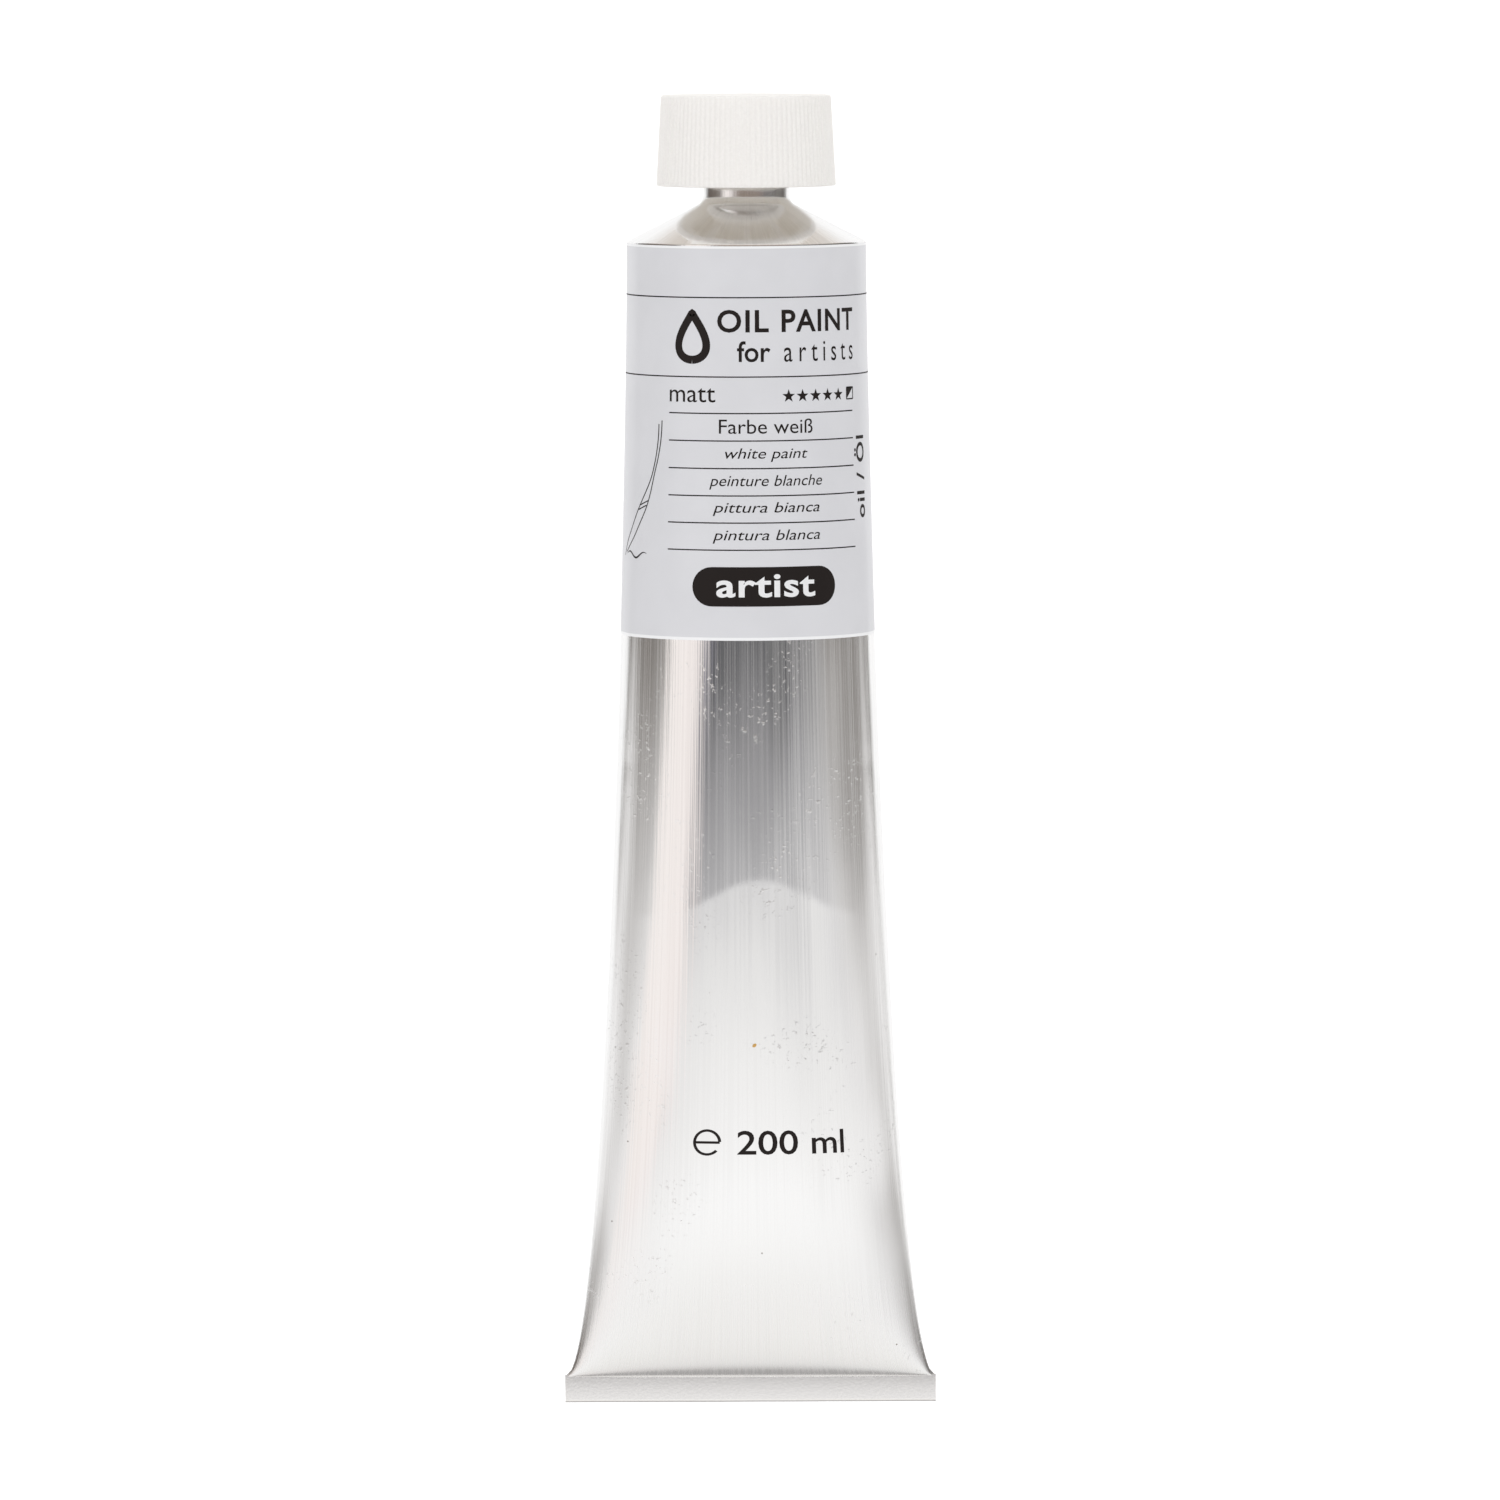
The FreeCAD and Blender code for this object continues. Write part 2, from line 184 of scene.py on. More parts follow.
def turned_shell(line: Sequence[Pair], across: int,
                 shape: Optional[Callable[[float, float, float], float]] = None
                 ) -> bmesh.types.BMesh:
    """Turns a line of (radius, height) about the axis.

    Args:
        line: The line; points on the axis close the skin there.
        across: Faces round the axis.
        shape: Gives a radius for (turn, radius, height) where it isn't plain round.

    Returns:
        The skin.
    """
    def place(share: float, row: int) -> Vector:
        """Places one vertex."""
        radius, height = line[row]
        turn = share * FULL_TURN
        if shape is not None:
            radius = shape(turn, radius, height)
        return Vector((radius * math.sin(turn), -radius * math.cos(turn), height))

    return grid_shell(across, len(line), place)


def joined(meshes: Iterable[bmesh.types.BMesh]) -> bmesh.types.BMesh:
    """Puts several meshes into one and frees them."""
    whole = bmesh.new()
    for mesh in meshes:
        part = bpy.data.meshes.new("part")
        mesh.to_mesh(part)
        mesh.free()
        whole.from_mesh(part)
        bpy.data.meshes.remove(part)
    return whole


def mark_flat(mesh: bmesh.types.BMesh) -> None:
    """Marks places along the girth on a flat piece that lies across the tube."""
    marks = mesh.loops.layers.uv.new(GIRTH)
    for face in mesh.faces:
        for loop in face.loops:
            across = loop.vert.co.x / (FULL_TURN * GIRTH_RADIUS)
            loop[marks].uv = (across, loop.vert.co.z)


def crease(mesh: bmesh.types.BMesh, degrees: float) -> None:
    """Keeps edges sharp where two faces meet at more than an angle."""
    limit = math.radians(degrees)
    for edge in mesh.edges:
        edge.smooth = len(edge.link_faces) != 2 or edge.calc_face_angle() < limit


# ------------------------------------------------------------------ frame and body law

@dataclass(frozen=True)
class TubeAxis:
    """Carries points from the tube's own axis, in millimetres, to the row frame in metres."""

    matrix: Matrix
    base: Vector
    lean: float

    @classmethod
    def from_joints(cls, joints: Sequence[dict]) -> "TubeAxis":
        """Reads the axis from the cap's hinge, which stands at the lip.

        Args:
            joints: Joints of the frame.

        Returns:
            The axis.
        """
        hinge = next(joint for joint in joints if joint["type"] == "hinge")
        along = Vector(hinge["axis"]).normalized()
        across = Vector((1, 0, 0))
        back = along.cross(across)
        base = Vector(hinge["pos_m"]) - along * LIP * MM
        turn = Matrix((across, back, along)).transposed().to_4x4()
        matrix = Matrix.Translation(base) @ turn @ Matrix.Scale(MM, 4)
        return cls(matrix, base, math.asin(along.z))


@dataclass(frozen=True)
class Sleeve:
    """Outline of the sleeve: round at the shoulder, flat at the fold, with the same girth."""

    radius: float = 20.0
    skirt_foot: float = 195.05
    fold_top: float = 4.5
    strip: float = 0.36
    flare_power: float = 1.38
    pinch_power: float = 0.38
    arch_height: float = 90.6       # top of the arched crease across the front
    arch_side: float = 1.5          # its top, to the right of the middle
    arch_drop: float = 7.0          # how far its two feet lie below its top
    arch_width: float = 9.5
    arch_depth: float = 0.15
    arch_run: float = 14.0          # stretch below the crease over which the metal sinks

    def roundness(self, height: float) -> float:
        """Share of the roundness that is left at a height."""
        span = self.skirt_foot - self.fold_top
        share = min(max((self.skirt_foot - height) / span, 0.0), 1.0)
        return 1 - share ** self.flare_power

    def half_width(self, height: float) -> float:
        """Half of the width across the fold."""
        return self.radius * (1 + (math.pi / 2 - 1) * (1 - math.sqrt(self.roundness(height))))

    def half_depth(self, height: float) -> float:
        """Half of the depth from the printed side to the back."""
        thin = self.strip / 2
        return thin + (self.radius - thin) * self.roundness(height) ** self.pinch_power

    def dent(self, turn: float, height: float) -> float:
        """How far the metal is pushed in at a place, in millimetres; 0 is the side in front.

        Args:
            turn: Angle from the printed side, positive to the right.
            height: Height on the tube's axis.

        Returns:
            The depth of the dent.
        """
        side = math.sin(turn)
        free = smooth_step(6.0, 30.0, height) * smooth_step(198.0, 150.0, height)
        sway = noise.noise(Vector((3.0 * side, 3.0 * math.cos(turn), height / 46.0)))
        ripple = noise.noise(Vector((9.0 * side + 4, 9.0 * math.cos(turn), height / 30.0)))
        depth = free * (0.10 * sway + 0.035 * ripple)
        depth += 0.02 * bump(abs(side), 1.0, 0.10) * bump(height, 109.5, 1.6)
        across = self.radius * side
        below = self.arch_height - height - self.arch_drop * (
            1 - bump(across, self.arch_side, self.arch_width))
        if below > 0 and math.cos(turn) > 0:
            sunk = self.arch_depth * (1 - math.exp(-below / self.arch_run))
            depth += (sunk * smooth_step(20.0, 60.0, height)
                      * smooth_step(17.5, 10.0, abs(across)))
        depth += 0.12 * bump(turn, 0.95, 0.20) * bump(height, 38.0, 9.0)
        depth += 0.10 * bump(turn, -0.75, 0.16) * bump(height, 57.0, 7.0)
        near_fold = smooth_step(26.0, 9.0, height) * smooth_step(4.6, 8.0, height)
        pleat = math.sin(11.0 * side + 2.0 * math.sin(3 * side))
        depth += 0.04 * near_fold * pleat * smooth_step(0.35, 0.85, abs(side))
        return depth

    def spot(self, turn: float, height: float, lift: float = 0.0, supple: float = 1.0) -> Vector:
        """Point on the sleeve.

        Args:
            turn: Angle from the printed side, positive to the right.
            height: Height on the tube's axis.
            lift: Distance out from the metal.
            supple: Share of the dents that shows.

        Returns:
            The point, on the tube's own axis in millimetres.
        """
        wide, deep = self.half_width(height), self.half_depth(height)
        out = Vector((math.sin(turn) / wide, -math.cos(turn) / deep, 0)).normalized()
        point = Vector((wide * math.sin(turn), -deep * math.cos(turn), height))
        return point + out * (lift - supple * self.dent(turn, height))


# ------------------------------------------------------------------ node groups and finishes

class Nodes:
    """Adds nodes to a tree with few words."""

    def __init__(self, tree: bpy.types.NodeTree) -> None:
        """Keeps the tree."""
        self.tree = tree

    def add(self, kind: str, inputs: Optional[dict] = None, **settings: object) -> bpy.types.Node:
        """Adds a node.

        Args:
            kind: Node type, without its ShaderNode prefix.
            inputs: Values or sockets for its inputs, by name or number.
            **settings: Properties of the node.

        Returns:
            The node.
        """
        node = self.tree.nodes.new("ShaderNode" + kind)
        for name, value in settings.items():
            setattr(node, name, value)
        for key, value in (inputs or {}).items():
            socket = node.inputs[key]
            if isinstance(value, bpy.types.NodeSocket):
                self.tree.links.new(value, socket)
            else:
                socket.default_value = value
        return node

    def math(self, operation: str, first: object, second: object = 0.0,
             third: object = 0.0) -> bpy.types.NodeSocket:
        """Adds a Math node and gives its output."""
        node = self.add("Math", {0: first, 1: second, 2: third}, operation=operation)
        return node.outputs[0]

    def span(self, value: object, low: float, high: float, to_low: float = 0.0,
             to_high: float = 1.0, soft: bool = True) -> bpy.types.NodeSocket:
        """Adds a clamped Map Range and gives its output."""
        node = self.add("MapRange", {"Value": value, "From Min": low, "From Max": high,
                                     "To Min": to_low, "To Max": to_high},
                        interpolation_type="SMOOTHSTEP" if soft else "LINEAR")
        return node.outputs["Result"]

    def blend(self, share: object, first: object, second: object) -> bpy.types.NodeSocket:
        """Mixes two colours by a share and gives the output."""
        node = self.add("Mix", {"Factor": share, "A": first, "B": second}, data_type="RGBA")
        return node.outputs["Result"]

    def noise(self, vector: object, scale: float, detail: float = 2.0,
              roughness: float = 0.5) -> bpy.types.NodeSocket:
        """Adds a Noise Texture and gives its factor."""
        node = self.add("TexNoise", {"Vector": vector, "Scale": scale, "Detail": detail,
                                     "Roughness": roughness})
        return node.outputs["Fac"]


class SharedGroups:
    """Node groups that more than one finish uses."""

    def __init__(self, axis: TubeAxis) -> None:
        """Builds every group once.

        Args:
            axis: The tube's axis, which the patterns follow.
        """
        self.axis = axis
        self.place = self._place()
        self.rolled = self._rolled()
        self.streaks = self._streaks()
        self.specks = self._specks()

    @staticmethod
    def _new(name: str, inputs: Sequence[Tuple[str, str, object]],
             outputs: Sequence[Tuple[str, str]]
             ) -> Tuple[bpy.types.NodeTree, Nodes, bpy.types.Node, bpy.types.Node]:
        """Makes an empty group with its sockets.

        Args:
            name: Name of the group.
            inputs: Name, kind and default of each input.
            outputs: Name and kind of each output.

        Returns:
            The group, its builder, its input node and its output node.
        """
        tree = bpy.data.node_groups.new(name, "ShaderNodeTree")
        for label, kind, default in inputs:
            socket = tree.interface.new_socket(name=label, in_out="INPUT", socket_type=kind)
            if default is not None:
                socket.default_value = default
        for label, kind in outputs:
            tree.interface.new_socket(name=label, in_out="OUTPUT", socket_type=kind)
        nodes = Nodes(tree)
        return (tree, nodes, tree.nodes.new("NodeGroupInput"),
                tree.nodes.new("NodeGroupOutput"))

    def _place(self) -> bpy.types.NodeTree:
        """Object coordinates, turned onto the tube's axis and measured in millimetres."""
        tree, nodes, _, out = self._new(
            "tube place", [], [("Place", "NodeSocketVector"), ("Height", "NodeSocketFloat")])
        here = nodes.add("TexCoord").outputs["Object"]
        placed = nodes.add("Mapping", {
            "Vector": here, "Location": self.axis.base,
            "Rotation": Euler((self.axis.lean - math.pi / 2, 0, 0)),
            "Scale": (MM, MM, MM)}, vector_type="TEXTURE").outputs["Vector"]
        tree.links.new(placed, out.inputs["Place"])
        height = nodes.add("SeparateXYZ", {"Vector": placed}).outputs["Z"]
        tree.links.new(height, out.inputs["Height"])
        return tree

    def _rolled(self) -> bpy.types.NodeTree:
        """Place on the girth, rolled up to the round tube, so that patterns follow the metal."""
        tree, nodes, given, out = self._new(
            "rolled girth", [("Marks", "NodeSocketVector", None)],
            [("Place", "NodeSocketVector")])
        marks = nodes.add("SeparateXYZ", {"Vector": given.outputs["Marks"]})
        turn = nodes.math("MULTIPLY", marks.outputs["X"], FULL_TURN)
        side = nodes.math("MULTIPLY", nodes.math("SINE", turn), GIRTH_RADIUS)
        front = nodes.math("MULTIPLY", nodes.math("COSINE", turn), -GIRTH_RADIUS)
        placed = nodes.add("CombineXYZ", {"X": side, "Y": front, "Z": marks.outputs["Y"]})
        tree.links.new(placed.outputs["Vector"], out.inputs["Place"])
        return tree

    def _streaks(self) -> bpy.types.NodeTree:
        """Long fine lines that run with the tube, as drawing leaves them."""
        tree, nodes, given, out = self._new(
            "drawn streaks",
            [("Place", "NodeSocketVector", None), ("Width", "NodeSocketFloat", 0.4),
             ("Length", "NodeSocketFloat", 30.0)],
            [("Fine", "NodeSocketFloat"), ("Broad", "NodeSocketFloat")])
        for name, factor, detail in (("Fine", 1.0, 3.0), ("Broad", 6.0, 2.0)):
            wide = nodes.math("MULTIPLY", given.outputs["Width"], factor)
            tall = nodes.math("MULTIPLY", given.outputs["Length"], 1 + (factor - 1) * 0.4)
            size = nodes.add("CombineXYZ", {"X": wide, "Y": wide, "Z": tall}).outputs["Vector"]
            drawn = nodes.add("VectorMath", {0: given.outputs["Place"], 1: size},
                              operation="DIVIDE").outputs["Vector"]
            tree.links.new(nodes.noise(drawn, 1.0, detail, 0.6), out.inputs[name])
        return tree

    def _specks(self) -> bpy.types.NodeTree:
        """Sparse small spots, such as dust or pinpricks."""
        tree, nodes, given, out = self._new(
            "sparse specks",
            [("Place", "NodeSocketVector", None), ("Spacing", "NodeSocketFloat", 6.0),
             ("Size", "NodeSocketFloat", 0.05)],
            [("Mask", "NodeSocketFloat")])
        scale = nodes.math("DIVIDE", 1.0, given.outputs["Spacing"])
        cells = nodes.add("TexVoronoi", {"Vector": given.outputs["Place"], "Scale": scale})
        near = nodes.math("LESS_THAN", cells.outputs["Distance"], given.outputs["Size"])
        tree.links.new(near, out.inputs["Mask"])
        return tree


@dataclass(frozen=True)
class Finish:
    """What every finish states: its name, colour, roughness and where it sits."""

    name: str
    colour: Tuple[float, float, float]
    roughness: float
    metallic: float = 0.0
    coat: float = 0.0
    sheen_of_light: float = 0.5
    glow_through: float = 0.0
    # painted glow: emission strength that makes a finish shine of itself, though it is no lamp
    painted_glow: float = 0.0

    def _start(self, groups: SharedGroups) -> Tuple[bpy.types.Material, Nodes, bpy.types.Node,
                                                    bpy.types.Node]:
        """Makes the material with its shader and the tube's place.

        Args:
            groups: The shared node groups.

        Returns:
            The material, its node builder, its shader and its place node.
        """
        material = bpy.data.materials.new(self.name)
        material.use_nodes = True
        tree = material.node_tree
        tree.nodes.clear()
        nodes = Nodes(tree)
        # the emission paints a faint warm glow on a finish, as strong as its painted glow: painted
        # light
        shader = nodes.add("BsdfPrincipled", {
            "Base Color": (*self.colour, 1), "Roughness": self.roughness,
            "Metallic": self.metallic, "Coat Weight": self.coat,
            "Specular IOR Level": self.sheen_of_light,
            "Subsurface Weight": self.glow_through, "Subsurface Scale": 0.005,
            "Subsurface Radius": (1.0, 0.97, 0.92),
            "Emission Color": (1.0, 0.93, 0.83, 1), "Emission Strength": self.painted_glow})
        nodes.add("OutputMaterial", {"Surface": shader.outputs["BSDF"]})
        place = nodes.add("Group", node_tree=groups.place)
        return material, nodes, shader, place

    def build(self, groups: SharedGroups) -> bpy.types.Material:
        """Makes the material.

        Args:
            groups: The shared node groups.

        Returns:
            The material.
        """
        material, nodes, shader, place = self._start(groups)
        self._dress(groups, nodes, shader, place)
        return material

    def _dress(self, groups: SharedGroups, nodes: Nodes, shader: bpy.types.Node,
               place: bpy.types.Node) -> None:
        """Adds a fine grain to the plain shader.

        Args:
            groups: The shared node groups; not used here.
            nodes: Node builder of the material.
            shader: The material's shader.
            place: The node that gives the tube's place.
        """
        grain = nodes.noise(place.outputs["Place"], 2.5, 3.0)
        tone = nodes.span(grain, 0.3, 0.7, 0.96, 1.0)
        colour = nodes.add("Mix", {"Factor": 1.0, "A": (*self.colour, 1), "B": tone},
                           data_type="RGBA", blend_type="MULTIPLY").outputs["Result"]
        nodes.tree.links.new(colour, shader.inputs["Base Color"])
        relief = nodes.add("Bump", {"Height": grain, "Strength": 0.08, "Distance": 0.0001})
        nodes.tree.links.new(relief.outputs["Normal"], shader.inputs["Normal"])


@dataclass(frozen=True)
class DrawnMetal(Finish):
    """Bare aluminium with the long fine lines that drawing leaves."""

    streak_width: float = 0.30
    streak_length: float = 150.0
    relief: float = 0.8

    def _dress(self, groups: SharedGroups, nodes: Nodes, shader: bpy.types.Node,
               place: bpy.types.Node) -> None:
        """Adds streaks to colour, roughness and relief; see Finish."""
        links = nodes.tree.links
        marks = nodes.add("UVMap", uv_map=GIRTH).outputs["UV"]
        rolled = nodes.add("Group", {"Marks": marks}, node_tree=groups.rolled)
        streaks = nodes.add("Group", {"Place": rolled.outputs["Place"],
                                      "Width": self.streak_width,
                                      "Length": self.streak_length}, node_tree=groups.streaks)
        fine, broad = streaks.outputs["Fine"], streaks.outputs["Broad"]
        both = nodes.math("ADD", nodes.math("MULTIPLY", fine, 0.8),
                          nodes.math("MULTIPLY", broad, 0.2))
        bright = (*self.colour, 1)
        dull = tuple(0.95 * part for part in self.colour) + (1,)
        tone = nodes.blend(nodes.span(both, 0.40, 0.60), dull, bright)
        dots = nodes.add("Group", {"Place": place.outputs["Place"], "Spacing": 7.0,
                                   "Size": 0.022}, node_tree=groups.specks).outputs["Mask"]
        tone = nodes.blend(dots, tone, (0.40, 0.37, 0.34, 1))
        links.new(tone, shader.inputs["Base Color"])
        worn = nodes.span(nodes.noise(place.outputs["Place"], 0.055, 1.0), 0.52, 0.62)
        marks = nodes.span(nodes.noise(place.outputs["Place"], 1.3, 4.0, 0.65), 0.60, 0.68)
        scuffs = nodes.math("MULTIPLY", worn, marks)
        rough = nodes.span(both, 0.42, 0.60, self.roughness * 0.6, self.roughness * 2.0)
        rough = nodes.math("MULTIPLY_ADD", scuffs, 0.16, rough)
        rough = nodes.math("ADD", rough, nodes.span(place.outputs["Height"], 40.0, 14.0,
                                                    0.0, 0.18))
        links.new(rough, shader.inputs["Roughness"])
        height = nodes.math("MULTIPLY_ADD", scuffs, 0.25, both)
        relief = nodes.add("Bump", {"Height": height, "Strength": self.relief,
                                    "Distance": 0.00004})
        links.new(relief.outputs["Normal"], shader.inputs["Normal"])


@dataclass(frozen=True)
class BandEnamel(Finish):
    """Lacquered band: a tinted field between two white edges."""

    edge_colour: Tuple[float, float, float] = (0.93, 0.93, 0.93)
    low: float = BAND_LOW
    high: float = BAND_HIGH
    low_edge: float = 0.5
    high_edge: float = 0.4

    def _dress(self, groups: SharedGroups, nodes: Nodes, shader: bpy.types.Node,
               place: bpy.types.Node) -> None:
        """Paints the white edges and a little unevenness; see Finish."""
        links = nodes.tree.links
        height = place.outputs["Height"]
        above = nodes.span(height, self.low + self.low_edge - 0.04,
                           self.low + self.low_edge + 0.04)
        below = nodes.span(height, self.high - self.high_edge + 0.04,
                           self.high - self.high_edge - 0.04)
        field = nodes.math("MULTIPLY", above, below)
        cloud = nodes.noise(place.outputs["Place"], 0.12, 3.0)
        deep = tuple(0.975 * part for part in self.colour) + (1,)
        tint = nodes.blend(nodes.span(cloud, 0.35, 0.65), deep, (*self.colour, 1))
        tone = nodes.blend(field, (*self.edge_colour, 1), tint)
        links.new(tone, shader.inputs["Base Color"])
        peel = nodes.noise(place.outputs["Place"], 1.4, 2.0)
        streaks = nodes.add("Group", {"Place": place.outputs["Place"], "Width": 0.5,
                                      "Length": 40.0}, node_tree=groups.streaks)
        height_map = nodes.math("ADD", nodes.math("MULTIPLY", peel, 0.5),
                                nodes.math("MULTIPLY", streaks.outputs["Fine"], 0.5))
        relief = nodes.add("Bump", {"Height": height_map, "Strength": 0.12,
                                    "Distance": 0.00003})
        links.new(relief.outputs["Normal"], shader.inputs["Normal"])


# ------------------------------------------------------------------ bench

class Bench:
    """Turns finished meshes into pieces of the frame."""

    def __init__(self, axis: TubeAxis, groups: SharedGroups) -> None:
        """Keeps the axis and the node groups."""
        self.axis = axis
        self.groups = groups
        self.built: dict = {}

    def finish(self, finish: Finish) -> bpy.types.Material:
        """Material of a finish, built once."""
        if finish.name not in self.built:
            self.built[finish.name] = finish.build(self.groups)
        return self.built[finish.name]

    def put(self, mesh: bmesh.types.BMesh, name: str, body: Body, slot: Slot, finish: Finish,
            replaces: Sequence[str] = (), sharp: float = 35.0,
            outward: bool = True) -> bpy.types.Object:
        """Makes a piece from a mesh on the tube's axis.

        Args:
            mesh: The mesh, in millimetres; it is freed.
            name: Name of the piece.
            body: Body that it rides on.
            slot: Material slot of the record; not used.
            finish: Its finish.
            replaces: CAD nodes that it stands for.
            sharp: Angle in degrees above which an edge stays sharp.
            outward: Whether to turn the faces outwards.

        Returns:
            The piece.
        """
        if outward:
            bmesh.ops.recalc_face_normals(mesh, faces=mesh.faces)
        if GIRTH not in mesh.loops.layers.uv:
            mark_flat(mesh)
        for face in mesh.faces:
            face.smooth = True
        crease(mesh, sharp)
        mesh.transform(self.axis.matrix)
        data = bpy.data.meshes.new(name)
        mesh.to_mesh(data)
        mesh.free()
        piece = bpy.data.objects.new(name, data)
        bpy.context.scene.collection.objects.link(piece)
        data.materials.append(self.finish(finish))
        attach(piece, body.value)
        if replaces:
            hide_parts(*replaces)
        LOG.info("%s: %d faces on %s", name, len(data.polygons), body.value)
        return piece


# ------------------------------------------------------------------ the tube

METAL = DrawnMetal("drawn aluminium", (0.97, 0.965, 0.96), 0.065, metallic=1.0)
FOLDED = Finish("folded aluminium", (0.97, 0.955, 0.945), 0.24, metallic=1.0)
ENAMEL = BandEnamel("band enamel", (0.72, 0.72, 0.74), 0.38, coat=0.15)
INK = Finish("printing ink", (0.016, 0.012, 0.011), 0.5, sheen_of_light=0.15)
WHITE_INK = Finish("white ink", (0.85, 0.85, 0.85), 0.45)
OCHRE = Finish("paint speck", (0.62, 0.36, 0.10), 0.5)
# the cap plastic shines with a faint warm glow of its own: painted light that brightens it
PLASTIC = Finish("white cap plastic", (0.83, 0.815, 0.79), 0.42, glow_through=0.15,
                 painted_glow=0.10)
FOAM = Finish("liner foam", (0.80, 0.80, 0.78), 0.6)
COMPOUND = Finish("seal compound", (0.45, 0.42, 0.35), 0.6)
PASTE = Finish("white oil paint", (0.90, 0.90, 0.87), 0.22, coat=0.4)


@dataclass(frozen=True)
class Thread:
    """Helical ridge of a screw thread."""

    root: float
    crest: float
    foot: float
    top: float
    pitch: float = 2.0
    foot_width: float = 1.0
    crest_width: float = 0.4
    per_turn: int = 96

    def mesh(self) -> bmesh.types.BMesh:
        """Spins the ridge's outline up the axis.

        Returns:
            The ridge, closed at both ends.
        """
        mesh = bmesh.new()
        bmesh.ops.create_grid(mesh, x_segments=1, y_segments=1, size=0.5)
        sink = (self.root - self.crest) * 0.3
        for vert in mesh.verts:
            outer = vert.co.x > 0
            width = self.crest_width if outer else self.foot_width + 0.3
            radius = self.crest if outer else self.root + sink
            vert.co = Vector((radius, 0, self.foot + self.foot_width / 2
                              + math.copysign(width / 2, vert.co.y)))
        turns = (self.top - self.foot - self.foot_width) / self.pitch
        count = round(turns * self.per_turn)
        edges = list(mesh.edges)
        bmesh.ops.delete(mesh, geom=list(mesh.faces), context="FACES_ONLY")
        bmesh.ops.spin(mesh, geom=edges + list(mesh.verts), cent=(0, 0, 0), axis=(0, 0, 1),
                       dvec=(0, 0, self.pitch / self.per_turn),
                       angle=turns * FULL_TURN, steps=count, use_duplicate=False)
        bmesh.ops.holes_fill(mesh, edges=mesh.edges, sides=4)
        return mesh


@dataclass(frozen=True)
class Tube:
    """The drawn tube: nozzle, shoulder, sleeve and the folded end."""

    sleeve: Sleeve
    wall: float = 0.15
    shoulder_edge: float = 196.65
    neck_foot: float = 203.2
    collar_radius: float = 7.2
    collar_top: float = 206.6
    thread_root: float = 6.5
    thread_crest: float = 7.1
    bore: float = 4.8
    layer_gap: float = 0.05
    fold_step: float = 0.35
    fold_lean: float = 0.036

    def heights(self, fine: float = 1.6) -> List[float]:
        """Heights of the sleeve's rows, closer together near the fold.

        Args:
            fine: Largest step on the open sleeve.

        Returns:
            The heights, from the fold to the shoulder.
        """
        low = self.sleeve.fold_top
        near = [low + step for step in (0.0, 0.1, 0.25, 0.45, 0.7, 1.0, 1.4, 1.9, 2.5, 3.2, 4.0)]
        rows = near + steps(low + 4.9, low + 20.0, 0.9) + steps(low + 21.2, 80.0, fine)
        rows += steps(80.7, 91.5, 0.7) + steps(92.5, BAND_LOW, fine)
        return rows + steps(132.0, 195.0, fine)

    def skin(self) -> bmesh.types.BMesh:
        """Builds sleeve, shoulder and nozzle, outside and inside, as one closed skin.

        Returns:
            The skin.
        """
        sleeve = self.sleeve
        rows: List[Callable[[float], Vector]] = []

        def on_sleeve(height: float, lift: float, supple: float) -> Callable[[float], Vector]:
            """Row on the sleeve."""
            return lambda turn: sleeve.spot(turn, height, lift, supple)

        def round_row(radius: float, height: float) -> Callable[[float], Vector]:
            """Row on the shoulder or the nozzle."""
            return lambda turn: Vector((radius * math.sin(turn), -radius * math.cos(turn),
                                        height))

        outside = self.heights()
        rows += [on_sleeve(height, 0.0, 1.0) for height in outside]
        edge = self.shoulder_edge
        inner_edge = edge - 0.9
        head = rounded_line([
            (sleeve.radius, 195.2, 0), (sleeve.radius, edge, 0.35),
            (self.collar_radius, self.neck_foot, 2.0), (self.collar_radius, self.collar_top, 0.2),
            (self.thread_root, self.collar_top, 0.1), (self.thread_root, LIP, 0.35),
            (self.bore, LIP, 0.3), (self.bore, self.neck_foot + 0.2, 0.4),
            (sleeve.radius - self.wall, inner_edge, 0.3), (sleeve.radius - self.wall, 195.0, 0)])
        rows += [round_row(radius, height) for radius, height in head]
        inside = steps(193.0, 12.0, 9.0) + [9.0, 7.0, 6.0]
        rows += [on_sleeve(height, -self.wall, 1.0) for height in inside]
        rows.append(on_sleeve(outside[0], 0.0, 1.0))
        return grid_shell(AROUND, len(rows),
                          lambda share, row: rows[row]((share - 0.5) * FULL_TURN))

    def fold(self) -> bmesh.types.BMesh:
        """Builds the flat strip, turned up twice at the back.

        Returns:
            The strip.
        """
        strip = self.sleeve.strip
        pitch = strip + self.layer_gap
        low = pitch + strip / 2
        high = self.sleeve.fold_top - self.fold_step - pitch / 2 - strip / 2
        half = self.sleeve.radius * math.pi / 2 - 0.02
        mesh = bmesh.new()
        bmesh.ops.create_grid(mesh, x_segments=1, y_segments=1, size=0.5)
        start = self.sleeve.fold_top + 0.35
        for vert in mesh.verts:
            vert.co = Vector((-half, math.copysign(strip / 2, vert.co.x),
                              start if vert.co.y > 0 else start - 0.1))
        front = [edge for edge in mesh.edges
                 if all(vert.co.z < start - 0.05 for vert in edge.verts)]

        def run(edges: list, to_height: float) -> list:
            """Draws the strip on, straight, to a height."""
            made = bmesh.ops.extrude_edge_only(mesh, edges=edges)["geom"]
            for vert in (item for item in made if isinstance(item, bmesh.types.BMVert)):
                vert.co.z = to_height
            return [item for item in made if isinstance(item, bmesh.types.BMEdge)]

        def bend(edges: list, depth: float, height: float, angle: float) -> list:
            """Draws the strip on round a half turn."""
            verts = list({vert for edge in edges for vert in edge.verts})
            made = bmesh.ops.spin(mesh, geom=verts + edges, cent=(-half, depth, height),
                                  axis=(1, 0, 0), dvec=(0, 0, 0), angle=angle, steps=14,
                                  use_duplicate=False)["geom_last"]
            return [item for item in made if isinstance(item, bmesh.types.BMEdge)]

